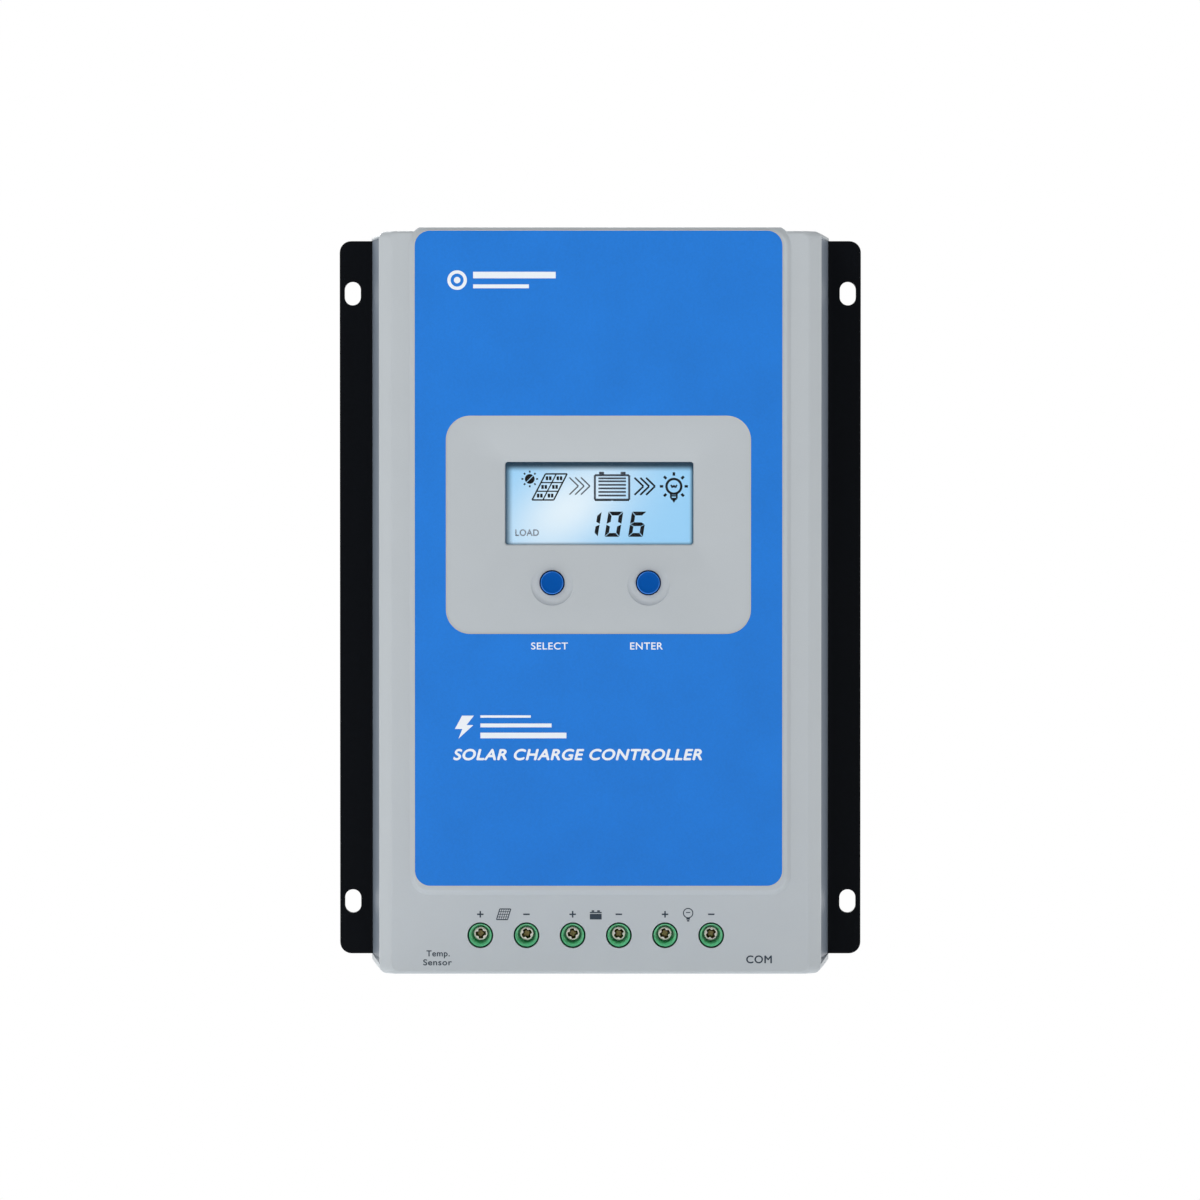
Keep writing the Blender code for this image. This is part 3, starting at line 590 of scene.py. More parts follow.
@dataclass(frozen=True)
class Backlit(Finish):
    """A display glass lit from behind, brightest round one spot, with a painted shadow of the window's rim
    along its edges.

    Attributes:
        low: Lowest corner of the lit area in panel millimetres.
        high: Highest corner.
        spot: Middle of the bright spot.
        spot_radius: Half length and half width of the spot.
        spot_turn: How far its long way is turned, in degrees.
        glow: Strength of the light.
        away: Colour far from the bright spot.
        bright: Colour in the spot.
        edge_shadow: Colour of the painted shadow along the edges.
    """

    low: tuple[float, float] = (-30.0, 20.0)
    high: tuple[float, float] = (30.0, 45.0)
    spot: tuple[float, float] = (-10.0, 28.0)
    spot_radius: tuple[float, float] = (24.0, 13.0)
    spot_turn: float = 35.0
    glow: float = 1.0
    away: tuple[int, int, int] = (152, 208, 246)
    bright: tuple[int, int, int] = (228, 243, 252)
    edge_shadow: tuple[int, int, int] = (14, 44, 62)

    def dress(self, tree: bpy.types.NodeTree, shader: bpy.types.Node, group: bpy.types.Node) -> None:
        """Lights the glass: blue to near white by the distance from the spot, darkened along its edges by a
        painted shadow.

        Args:
            tree: The material's nodes.
            shader: Its main shader.
            group: Its surface texture; not used.
        """
        nodes = tree.nodes
        coordinates, split = nodes.new("ShaderNodeTexCoord"), nodes.new("ShaderNodeSeparateXYZ")
        place, reach = nodes.new("ShaderNodeMapping"), nodes.new("ShaderNodeVectorMath")
        place.vector_type = "TEXTURE"
        place.inputs["Location"].default_value = (self.spot[0] * MM, 0.0, self.spot[1] * MM)
        place.inputs["Rotation"].default_value = (0.0, -np.radians(self.spot_turn), 0.0)
        place.inputs["Scale"].default_value = (self.spot_radius[0] * MM, 1.0, self.spot_radius[1] * MM)
        reach.operation = "LENGTH"
        link_sockets(
            tree,
            (coordinates.outputs["Object"], split.inputs[0]),
            (coordinates.outputs["Object"], place.inputs["Vector"]),
            (place.outputs["Vector"], reach.inputs[0]),
        )
        across = maths(tree, "DIVIDE", split.outputs["X"], MM)
        up = maths(tree, "DIVIDE", split.outputs["Z"], MM)
        square = maths(tree, "POWER", reach.outputs["Value"], 2.0)
        fall = maths(tree, "EXPONENT", maths(tree, "MULTIPLY", square, -1.0))
        mix = nodes.new("ShaderNodeMix")
        mix.data_type = "RGBA"
        mix.inputs["A"].default_value = srgb(*self.away)
        mix.inputs["B"].default_value = srgb(*self.bright)
        tree.links.new(fall, mix.inputs["Factor"])
        edge_shadow = None
        # Painted shadow of the window's rim: it fades in over 3.2 mm at the left, 1.6 at the right and the
        # bottom, and 2.5 at the top.
        edges = (
            (across, self.low[0] - 0.3, 3.2),
            (across, self.high[0] + 0.1, -1.6),
            (up, self.low[1] - 0.5, 1.6),
            (up, self.high[1] - 0.95, -2.5),
        )
        for at, edge, fade in edges:
            ramp = nodes.new("ShaderNodeMapRange")
            ramp.interpolation_type = "SMOOTHSTEP"
            ramp.inputs["From Min"].default_value = edge
            ramp.inputs["From Max"].default_value = edge + fade
            tree.links.new(at, ramp.inputs["Value"])
            edge_shadow = maths(tree, "MULTIPLY", edge_shadow, ramp.outputs[0]) if edge_shadow else ramp.outputs[0]
        lit = nodes.new("ShaderNodeMix")
        lit.data_type = "RGBA"
        lit.inputs["A"].default_value = srgb(*self.edge_shadow)
        link_sockets(
            tree,
            (mix.outputs["Result"], lit.inputs["B"]),
            (edge_shadow, lit.inputs["Factor"]),
            (lit.outputs["Result"], shader.inputs["Emission Color"]),
        )
        shader.inputs["Emission Strength"].default_value = self.glow


@dataclass(frozen=True)
class Circuit(Finish):
    """A circuit board: green lacquer over copper tracks.

    Attributes:
        tracks: Rows of tracks in a metre.
        track_colour: Display values over a track.
    """

    tracks: float = 260.0
    track_colour: tuple[int, int, int] = (60, 140, 80)

    def dress(self, tree: bpy.types.NodeTree, shader: bpy.types.Node, group: bpy.types.Node) -> None:
        """Lightens the lacquer where a brick pattern's joints stand for tracks.

        Args:
            tree: The material's nodes.
            shader: Its main shader.
            group: Its surface texture.
        """
        nodes = tree.nodes
        coordinates, turn = nodes.new("ShaderNodeTexCoord"), nodes.new("ShaderNodeMapping")
        turn.inputs["Rotation"].default_value = (np.pi / 2, 0.0, 0.0)
        brick = nodes.new("ShaderNodeTexBrick")
        brick.inputs["Scale"].default_value = self.tracks
        brick.inputs["Mortar Size"].default_value = 0.05
        brick.inputs["Color1"].default_value = (0.0, 0.0, 0.0, 1.0)
        brick.inputs["Color2"].default_value = (0.06, 0.06, 0.06, 1.0)
        brick.inputs["Mortar"].default_value = (1.0, 1.0, 1.0, 1.0)
        mix = nodes.new("ShaderNodeMix")
        mix.data_type = "RGBA"
        mix.inputs["B"].default_value = srgb(*self.track_colour)
        link_sockets(
            tree,
            (coordinates.outputs["Object"], turn.inputs["Vector"]),
            (turn.outputs["Vector"], brick.inputs["Vector"]),
            (brick.outputs["Color"], mix.inputs["Factor"]),
            (group.outputs["Color"], mix.inputs["A"]),
            (mix.outputs["Result"], shader.inputs["Base Color"]),
        )


ALUMINIUM = Finish(
    "black_anodised_aluminium", "black_aluminium", (8, 11, 16), 0.45, 0.0, 0.06,
    grain=900.0, depth=0.012, mottle=0.25, spread=0.14, stretch=(1.0, 1.0, 0.02),
)  # fmt: skip
# A lighter grey copy of the extrusion's finish, drawn on its outward side faces.
SIDE_WALL = Finish(
    "grey_side_faces", "black_aluminium", (122, 132, 144), 0.4, 0.0, 0.2,
    grain=900.0, depth=0.012, mottle=0.2, spread=0.14, stretch=(1.0, 1.0, 0.02),
)  # fmt: skip
COVER_PLASTIC = Finish(
    "pale_grey_abs", "grey_plastic", (186, 192, 196), 0.42, specular=0.35,
    grain=2200.0, depth=0.006, mottle=0.035, spread=0.08,
)  # fmt: skip
LABEL_BLUE = Finish(
    "blue_printed_film", "blue_film", (24, 120, 214), 0.5, specular=0.25,
    grain=1500.0, depth=0.005, mottle=0.17, spread=0.1,
)  # fmt: skip
LABEL_EDGE = Finish("film_cut_edge", "blue_film", (204, 196, 182), 0.6, specular=0.3)
WHITE_INK = Finish("white_ink", "white_plastic", (238, 243, 248), 0.55, specular=0.3, mottle=0.03)
SLATE_INK = Finish("slate_ink", "black_plastic", (46, 58, 70), 0.55, specular=0.3, mottle=0.08)
DISPLAY_INK = Finish("display_dark", "black_plastic", (12, 18, 26), 0.6, specular=0.1)
DISPLAY_GREY = Finish("display_grey", "black_plastic", (168, 178, 192), 0.6, specular=0.1)
DISPLAY_MID = Finish("display_mid_grey", "black_plastic", (92, 102, 116), 0.6, specular=0.1)
CLEAR_LENS = Clear("clear_lens", "clear_plastic", (255, 255, 255), 0.03, depth=0.0, mottle=0.0, spread=0.02)
BUTTON_BLUE = Finish(
    "button_blue", "blue_plastic", (0, 80, 164), 0.5, specular=0.05, mottle=0.06, depth=0.004,
)  # fmt: skip
# Lighter, glossier blue for the keys' bevelled rims: a painted highlight.
BUTTON_RIM_HIGHLIGHT = Finish(
    "button_rim_painted_highlight", "blue_plastic", (12, 116, 216), 0.24, specular=0.6, mottle=0.04, depth=0.002,
)  # fmt: skip
TERMINAL_GREEN = Finish(
    "terminal_green", "green_plastic", (72, 184, 122), 0.36, specular=0.5, mottle=0.08, depth=0.008,
)  # fmt: skip
# A lighter copy of the terminals' green for the funnelled bores: painted light in place of the shade inside
# them.
FUNNEL_PAINTED_LIGHT = Finish(
    "funnel_green_painted_light", "green_plastic", (140, 240, 192), 0.3, specular=0.5, mottle=0.08, depth=0.008,
)  # fmt: skip
NICKEL = Finish(
    "nickel_plate", "nickel", (205, 200, 190), 0.24, 1.0,
    grain=2600.0, depth=0.004, mottle=0.16, spread=0.16,
)  # fmt: skip
# Darker, browner nickel for the screws' cross recesses: painted shade in the hollow.
RECESS_SHADE = Finish("screw_recess_painted_shade", "nickel", (150, 128, 90), 0.42, 1.0, grain=2600.0, mottle=0.3)
COPPER = Finish(
    "tinned_copper", "copper", (214, 160, 118), 0.3, 1.0, grain=1400.0, mottle=0.2, spread=0.14,
)  # fmt: skip
BLACK_PLASTIC = Finish("black_moulding", "black_plastic", (28, 29, 31), 0.48, mottle=0.15, depth=0.01)
WHITE_PLASTIC = Finish("white_moulding", "white_plastic", (228, 230, 230), 0.45)
BOARD = Circuit("circuit_board", "board", (22, 92, 48), 0.32, coat=0.2, depth=0.003)
SLEEVE = Finish("capacitor_sleeve", "capacitor_sleeve", (30, 34, 58), 0.3, coat=0.3, mottle=0.1)
PAD = Finish("silicone_pad", "thermal_pad", (168, 172, 178), 0.85, grain=600.0, mottle=0.12)


# ---------------------------------------------------------------------------- pieces


def smooth(obj: bpy.types.Object) -> None:
    """Shades an object's faces smooth, up to its real edges, with flat faces kept flat.

    Args:
        obj: The object.
    """
    obj.data.shade_smooth()
    obj.data.set_sharp_from_angle(angle=np.radians(SMOOTH_BELOW))
    weighted = obj.modifiers.new("flat_faces", "WEIGHTED_NORMAL")
    weighted.keep_sharp = True


def finished(
    obj: bpy.types.Object, finish: Finish, body: str = BODY, stands_for: tuple[str, ...] = ()
) -> bpy.types.Object:
    """Gives an object its material and its place in the frame.

    Args:
        obj: The object, at the origin, with its place in its mesh.
        finish: Its finish.
        body: The body that it moves with.
        stands_for: The frame's nodes that it is shown in place of.

    Returns:
        The object.
    """
    if not obj.data.materials:
        obj.data.materials.append(finish.material())
    obj.data.materials[0] = finish.material()
    smooth(obj)
    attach(obj, body)
    if stands_for:
        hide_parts(*stands_for)
    log.info("%s: %d faces, on %s", obj.name, len(obj.data.polygons), body)
    return obj


def piece(
    name: str, solid: Solid, finish: Finish, body: str = BODY, stands_for: tuple[str, ...] = ()
) -> bpy.types.Object:
    """Makes a finished piece straight from a solid; the arguments are those of finished()."""
    return finished(link(name, solid.mesh(name)), finish, body, stands_for)


# ---------------------------------------------------------------------------- heat sink


@dataclass
class HeatSink:
    """The black extrusion that the controller stands on, with its fins and slotted flanges."""

    length: float = 246.2
    depth: float = 30.0
    flange_half: float = 90.0
    flange: float = 3.0
    flange_corner: float = 4.0
    side_foot: float = 79.0
    side_head: float = 75.5
    wall: float = 2.8
    plate_bottom: float = 25.0
    fins: int = 13
    pitch: float = 10.4
    fin_root: float = 1.2
    fin_tip: float = 0.9
    slot_x: float = 85.5
    slot_y: float = 105.0
    slot_radius: float = 2.8
    slot_straight: float = 1.25

    def profile(self) -> Array:
        """The extrusion's rounded outline across the panel: X, and Z out from the wall.

        Returns:
            Points (n, 2).
        """
        slope = (self.side_foot - self.side_head) / self.depth
        foot = self.side_foot - slope * self.flange
        inside = self.side_foot - slope * self.plate_bottom - self.wall
        right = [
            (self.flange_half, 0.0, 0.3),
            (self.flange_half, self.flange, 0.6),
            (foot, self.flange, 1.0),
            (self.side_head, self.depth, 0.5),
        ]
        left = [(-x, z, r) for x, z, r in reversed(right)]
        centres = (np.arange(self.fins) - (self.fins - 1) / 2) * self.pitch
        under = [(-self.side_foot + self.wall, 0.0, 0.3), (-inside, self.plate_bottom, 1.0)]
        for x in centres:
            under += [
                (x - self.fin_root, self.plate_bottom, 0.8),
                (x - self.fin_tip, 0.0, 0.35),
                (x + self.fin_tip, 0.0, 0.35),
                (x + self.fin_root, self.plate_bottom, 0.8),
            ]
        under += [(inside, self.plate_bottom, 1.0), (self.side_foot - self.wall, 0.0, 0.3)]
        corners = np.array(right + left + under)
        return softened(corners[:, :2], corners[:, 2])

    def build(self) -> None:
        """Carries the profile along Y, with X held inside the flanges' round corners."""
        turn = np.radians(np.linspace(0, 90, 8))
        end = self.length / 2 - self.flange_corner * (1 - np.sin(turn))
        reach = self.flange_half - self.flange_corner * (1 - np.cos(turn))
        places = np.concatenate([-end[::-1], end])
        limit = np.concatenate([reach[::-1], reach])[:, None]
        loops = carried(self.profile(), places, ALONG_Y)
        loops[..., 0] = np.clip(loops[..., 0], -limit, limit)
        sink = link("finned_heat_sink", Solid().loft(loops).mesh("finned_heat_sink"))
        sides = [(sx, sy) for sx in (-1, 1) for sy in (-1, 1)]
        slots = Solid()
        for sx, sy in sides:
            slots.loft(
                rounded_rectangles(
                    self.slot_radius,
                    self.slot_radius + self.slot_straight,
                    self.slot_radius - 0.01,
                    [-OVERRUN, self.flange - 0.3, self.flange, self.flange + OVERRUN],
                    sx * self.slot_x,
                    sy * self.slot_y,
                )
            )
        sink.data.materials.append(ALUMINIUM.material())
        sink.data.materials.append(SIDE_WALL.material())
        # The outward side faces get the lighter grey.
        normal, centre = face_vectors(sink.data, "normal"), face_vectors(sink.data, "center")
        outward = normal[:, 0] * np.sign(centre[:, 0]) > 0.9
        on_side = outward & (np.abs(centre[:, 0]) > self.side_head * MM - 1e-4)
        on_side &= np.abs(centre[:, 0]) < (self.side_foot + 0.5) * MM
        sink.data.polygons.foreach_set("material_index", on_side.astype(np.int32))
        carve(sink, slots)
        finished(sink, ALUMINIUM, stands_for=("heat_sink",))


# ---------------------------------------------------------------------------- front cover


@dataclass(frozen=True)
class FrontCover:
    """The pale grey moulding: raised band, keypad recess, display window and end skirts."""

    skirt_foot: float = 1.0
    rim: float = 30.1
    face: float = 61.2
    sides: tuple[tuple[float, float], ...] = ((79.0, 1.0), (75.6, 30.1), (74.6, 57.2))
    chamfer_end: float = 60.0
    end_round: float = 1.2
    top: float = 124.8
    bottom: float = -126.0
    skirt_top: float = 124.3
    skirt_bottom: float = -125.4
    skirt_inner: float = 123.15
    wall: float = 2.5
    band_half: float = 63.9
    band_top: float = 126.0
    band_bottom: float = -98.9
    band_face: float = 62.7
    band_corner: float = 6.4
    keypad_middle: tuple[float, float] = (-0.6, 25.75)
    keypad_half: tuple[float, float] = (51.15, 36.5)
    keypad_corner: float = 8.0
    window_middle: tuple[float, float] = (-0.3, 33.0)
    window_half: tuple[float, float] = (31.75, 13.95)
    button_hole: float = 4.24
    seat: float = 7.2
    seat_z: float = 60.9
    tube_hole: float = 4.36
    hole_lip: float = 0.12
    boss: float = 4.0
    flare: tuple[tuple[float, float], ...] = ((79.0, 1.0), (74.6, 57.2))
    least_corner: float = 0.5
    corner_growth: float = 2.1
    boss_top: float = 59.0
    vents: int = 12
    vent_half: tuple[float, float] = (3.4, 9.0)
    vent_corner: float = 1.2
    vent_z: float = 13.0

    def shell(self) -> Array:
        """Loops of the outer body, from the skirts' feet to the front face.

        The half width follows the flare of the ends, then a 45 degree chamfer; the ends lean out
        towards the front and turn in over a quarter circle, and the corners' radius is the least one
        plus its growth times the share of the height to the power 1.5.

        Returns:
            An array (levels, n, 3).
        """
        side_x, side_z = np.array(self.flare).T
        straight = np.array([self.skirt_foot, self.rim, 45.0, 56.9, 57.25, 57.7, self.chamfer_end])
        turn = np.radians(np.linspace(0, 90, 8)[1:])
        z = np.concatenate([straight, self.chamfer_end + self.end_round * np.sin(turn)])
        inset = np.concatenate([np.zeros(len(straight)), self.end_round * (1 - np.cos(turn))])
        half = np.interp(z, side_z, side_x)
        half -= np.clip(z - side_z[-1], 0, None) + 0.35 * inset / self.end_round
        share = (z - self.skirt_foot) / (self.face - self.skirt_foot)
        high = self.skirt_top + (self.top - self.skirt_top) * share - inset
        low = self.skirt_bottom + (self.bottom - self.skirt_bottom) * share + inset
        corner = self.least_corner + self.corner_growth * np.minimum(share, 1.0) ** 1.5
        return rounded_rectangles(half, (high - low) / 2, corner, z, 0.0, (high + low) / 2)

    def side_cuts(self) -> Solid:
        """What is planed off both sides between the end plates, back to the cover's own sides.

        Returns:
            Both cutting shapes as one solid.
        """
        highest = self.flare[-1][1] - 0.2
        side_x, side_z = np.array(self.sides).T
        z = np.array([self.skirt_foot - OVERRUN, self.skirt_foot, self.rim, highest, highest])
        x = np.append(np.interp(z[:4], side_z, side_x), 84.0)
        outline = np.column_stack([np.append(x, 84.0), np.append(z, z[0])])
        ends = [-self.skirt_inner, self.skirt_inner]
        return Solid().loft(carried(outline, ends, ALONG_Y)).loft(carried(outline * (-1, 1), ends, ALONG_Y))

    def band(self) -> Array:
        """Loops of the raised band: straight walls, a soft foot and a sloping shoulder.

        Returns:
            An array (levels, n, 3).
        """
        profile = np.array(
            [(0.0, self.skirt_foot), (0.0, 45.0), (0.0, 60.8), (-0.9, 61.0), (-0.5, 61.22),
             (-0.15, 61.45), (0.1, 61.75), (0.45, 62.15), (0.85, 62.47), (1.15, 62.64), (1.5, 62.7)]
        )  # fmt: skip
        inset, z = profile.T
        half_y = (self.band_top - self.band_bottom) / 2
        middle = (self.band_top + self.band_bottom) / 2
        loops = rounded_rectangles(
            self.band_half - inset, half_y - inset, self.band_corner - inset, z, 0.0, middle, 16
        )
        loops[..., 1] = np.minimum(loops[..., 1], self.band_top)
        return loops

    def recess(self) -> Array:
        """Loops that cut the keypad recess: window, rounded lip, and a funnel out to the label.

        Returns:
            An array (levels, n, 3).
        """
        window_x, window_y = self.window_half
        lip = arc((0.65, 59.57), 0.65, 180, 90, 5)
        inset = np.concatenate([[0.0], lip[:, 0], [1.25]])
        z = np.concatenate([[self.face - self.wall - OVERRUN], lip[:, 1], [60.24]])
        inner = rounded_rectangles(
            window_x + inset, window_y + inset, 0.9 + inset, z, *self.window_middle
        )
        outer = rounded_rectangles(
            *self.keypad_half, self.keypad_corner, [self.band_face, self.band_face + OVERRUN],
            *self.keypad_middle,
        )  # fmt: skip
        return np.concatenate([inner, outer])

    def hole(self, radius: float, lip_z: float, centre: Array) -> Array:
        """Loops that drill a round hole whose edge at lip_z is slightly rounded.

        Args:
            radius: The hole's radius.
            lip_z: Height of its edge.
            centre: X and Y of its line.

        Returns:
            An array (levels, n, 3).
        """
        lip = self.hole_lip
        turn = arc((radius + lip, lip_z - lip), lip, 180, 100, 4)
        profile = [(radius, lip_z - 5.0), *turn, (radius + lip, lip_z + OVERRUN)]
        return circles(profile, tuple(centre[:2]))

    def seat_cut(self, centre: Array) -> Array:
        """Loops that sink a button's round flat seat into the sloping recess."""
        rise = arc((self.seat - 1.2, self.seat_z + 2.0), 2.0, 270, 340, 8)
        return circles([(self.seat - 2.0, self.seat_z), *rise, (self.seat + 1.2, 64.0)], tuple(centre[:2]))

    def build(self) -> None:
        """Joins the band to the shell, hollows both, and opens every window, hole and vent."""
        cover = link("moulded_cover", Solid().loft(self.shell()).mesh("moulded_cover"))
        carve(cover, self.side_cuts())
        carve(cover, Solid().loft(self.band()), Cut.JOIN)
        sink_room = np.array([(-1, -1), (1, -1), (1, 1), (-1, 1)]) * (90.0, self.skirt_inner)
        carve(cover, Solid().loft(carried(sink_room, [-OVERRUN, self.rim])))
        inside_z = [self.rim - OVERRUN, 55.9, self.face - self.wall]
        inside_x = [73.1, 72.1, 69.3]
        carve(cover, Solid().loft(rounded_rectangles(inside_x, self.skirt_inner - 0.01, 1.0, inside_z)))
        bosses = Solid()
        for number in range(1, 5):
            centre = node_middle(f"cover_screw_{number}")[:2]
            bosses.loft(circles([(self.boss, self.rim), (self.boss, self.boss_top)], centre, 32))
        carve(cover, bosses, Cut.JOIN)
        self.open_front(cover)
        self.open_ends(cover)
        finished(cover, COVER_PLASTIC, stands_for=("front_cover",))

    def open_front(self, cover: bpy.types.Object) -> None:
        """Cuts the keypad recess, the buttons' seats and holes, and the terminals' holes.

        Args:
            cover: The cover.
        """
        carve(cover, Solid().loft(self.recess()))
        buttons = [node_middle(f"{name}_button") for name in ("select", "enter")]
        seats, holes = Solid(), Solid()
        for middle in buttons:
            seats.loft(self.seat_cut(middle))
            holes.loft(self.hole(self.button_hole, self.seat_z, middle))
        for way in range(1, 7):
            holes.loft(self.hole(self.tube_hole, self.face, node_middle(f"terminal_screw_{way}")))
        carve(cover, seats)
        carve(cover, holes)

    def open_ends(self, cover: bpy.types.Object) -> None:
        """Cuts the windows for the sockets in the bottom end, and the vents in both ends.

        Args:
            cover: The cover.
        """
        windows = Solid()
        past = [self.bottom - OVERRUN, -self.skirt_inner + OVERRUN]
        first, last = node_box("terminal_block_solar")[0], node_box("terminal_block_load")[1]
        boxes = [(first, last), node_box("data_jack"), node_box("sensor_socket")]
        for low, high in boxes:
            top = min(high[2], 52.0)
            half = ((high[0] - low[0]) / 2 + 0.3, (top - low[2]) / 2 + 0.45)
            outline = rounded_rectangles(*half, 0.5, 0.0, (high[0] + low[0]) / 2, (top + low[2]) / 2, 4)
            windows.loft(carried(outline[0, :, :2], past, ALONG_Y))
        carve(cover, windows)
        vents = Solid()
        for channel in (np.arange(self.vents) - (self.vents - 1) / 2) * HeatSink.pitch:
            outline = rounded_rectangles(
                *self.vent_half, self.vent_corner, 0.0, channel, self.vent_z, 4
            )[0, :, :2]
            vents.loft(carried(outline, past, ALONG_Y))
            vents.loft(carried(outline, [self.skirt_inner - OVERRUN, self.band_top + OVERRUN], ALONG_Y))
        carve(cover, vents)


# ---------------------------------------------------------------------------- label and marks


def glyphs(text: str, slant: float = 0.0) -> tuple[Array, list[list[int]]]:
    """Letters of a plain face, stretched to a box of one by one.

    Args:
        text: The words.
        slant: How far the letters lean.

    Returns:
        Flat points (n, 2) between 0 and 1, and the faces between them.
    """
    curve = bpy.data.curves.new("lettering", "FONT")
    curve.body = text
    curve.shear = slant
    curve.space_character = 1.08
    obj = link("lettering", curve)
    mesh = evaluated_mesh(obj)
    points = np.empty(len(mesh.vertices) * 3)
    mesh.vertices.foreach_get("co", points)
    points = points.reshape(-1, 3)[:, :2]
    faces = [list(polygon.vertices) for polygon in mesh.polygons]
    bpy.data.objects.remove(obj)
    bpy.data.curves.remove(curve)
    bpy.data.meshes.remove(mesh)
    low, high = points.min(axis=0), points.max(axis=0)
    return (points - low) / (high - low), faces


class Print(Solid):
    """Ink on a flat face: outlines and letters raised by a hair's breadth.

    Attributes:
        low: Height of the face above the wall.
        ink: Thickness of the ink.
    """

    def __init__(self, low: float, ink: float = 0.03) -> None:
        """Starts an empty print.

        Args:
            low: Height of the face.
            ink: Thickness of the ink.
        """
        super().__init__()
        self.low = low
        self.ink = ink

    def shapes(self, outlines: list[Array], at: tuple[float, float] = (0.0, 0.0), scale: float = 1.0) -> None:
        """Prints filled outlines, scaled and then moved to a place."""
        placed = [np.asarray(outline) * scale + at for outline in outlines]
        self.plates(placed, self.low, self.low + self.ink)

    def words(
        self, text: str, low: tuple[float, float], high: tuple[float, float],
        weight: float, slant: float = 0.0,
    ) -> None:  # fmt: skip
        """Prints letters that fill a box, as five thin layers shifted from each other.

        Args:
            text: The words.
            low: The box's lowest corner.
            high: Its highest corner.
            weight: How far the outer layers are shifted, which makes the strokes bolder.
            slant: How far the letters lean.
        """
        flat, faces = glyphs(text, slant)
        size = np.array(high) - low - 2 * weight
        flat = np.array(low) + weight + flat * size
        edges = np.array([(a, b) for face in faces for a, b in zip(face, face[1:] + face[:1])])
        count = len(flat)
        one_way, back = edges @ (count, 1), edges @ (1, count)
        rim = edges[~np.isin(one_way, back)]
        walls = np.stack([rim[:, 0], rim[:, 1], rim[:, 1] + count, rim[:, 0] + count], axis=-1)
        raised = [[corner + count for corner in face] for face in faces]
        under = [face[::-1] for face in faces]
        for layer, way in enumerate(((0, 0), (1, 0), (-1, 0), (0, 1), (0, -1))):
            top = self.low + self.ink * (1.0 - 0.1 * layer)
            heights = np.repeat([self.low, top], count)[:, None]
            moved = np.vstack([flat, flat]) + np.array(way) * weight
            self.add(np.hstack([moved, heights]), raised + under + walls.tolist())


def bar(start: tuple[float, float], end: tuple[float, float], width: float) -> Array:
    """A straight stroke: its ends moved half the width to either side.

    Args:
        start: Middle of one end.
        end: Middle of the other end.
        width: Its width.

    Returns:
        Its four corners.
    """
    start, end = np.array(start, float), np.array(end, float)
    along = (end - start) / np.linalg.norm(end - start)
    side = np.array([-along[1], along[0]]) * width / 2
    return np.array([start - side, end - side, end + side, start + side])


def ring(centre: tuple[float, float], outer: float, inner: float, pieces: int = 32) -> list[Array]:
    """A flat ring as wedges between two circles.

    Args:
        centre: The ring's centre.
        outer: Radius of its outside.
        inner: Radius of its hole.
        pieces: How many wedges there are.

    Returns:
        The wedges' outlines.
    """
    edge_out, edge_in = arc(centre, outer, 0, 360, pieces), arc(centre, inner, 0, 360, pieces)
    return [
        np.array([edge_in[i], edge_out[i], edge_out[i + 1], edge_in[i + 1]]) for i in range(pieces)
    ]


def rays(
    centre: tuple[float, float], inner: float, outer: float, width: float, angles: list[float]
) -> list[Array]:
    """Strokes that point away from a centre at the given angles in degrees.

    Args:
        centre: What they point away from.
        inner: Where they start.
        outer: Where they end.
        width: Width of a stroke.
        angles: Their angles in degrees.

    Returns:
        The outlines of its strokes.
    """
    strokes = []
    for angle in np.radians(angles):
        way = np.array([np.cos(angle), np.sin(angle)])
        strokes.append(bar(np.array(centre) + inner * way, np.array(centre) + outer * way, width))
    return strokes


def frame_bars(
    low: tuple[float, float], high: tuple[float, float], width: float, lean: float = 0.0
) -> list[Array]:
    """The four sides of a rectangle as strokes, its top moved sideways by lean.

    Args:
        low: Its lowest corner.
        high: Its highest corner.
        width: Width of a stroke.
        lean: How far the top is moved.

    Returns:
        The outlines of its strokes.
    """
    corners = np.array([low, (high[0], low[1]), (high[0] + lean, high[1]), (low[0] + lean, high[1])])
    return [bar(corners[i], corners[(i + 1) % 4], width) for i in range(4)]


def panel_icon() -> list[Array]:
    """A leaning solar panel, 7.3 wide, 8.8 high and leaning by 4.5, with 2 by 3 cells.

    Returns:
        The outlines of its strokes.
    """
    width, height, lean = 7.3, 8.8, 4.5
    strokes = frame_bars((0.0, 0.0), (width, height), 0.5, lean)
    for t in (1 / 3, 2 / 3):
        strokes.append(bar((lean * t, height * t), (width + lean * t, height * t), 0.42))
    strokes.append(bar((width / 2, 0.0), (width / 2 + lean, height), 0.42))
    for row in (0.5, 1.5, 2.5):
        for column in (0.25, 0.75):
            middle = np.array([width * column + lean * row / 3, height * row / 3])
            for side in (-1, 1):
                start, end = side * 0.55 - 0.42, side * 0.55 + 0.42
                strokes.append(bar(middle + (start, 0), middle + (end, 0), 1.3))
    return strokes


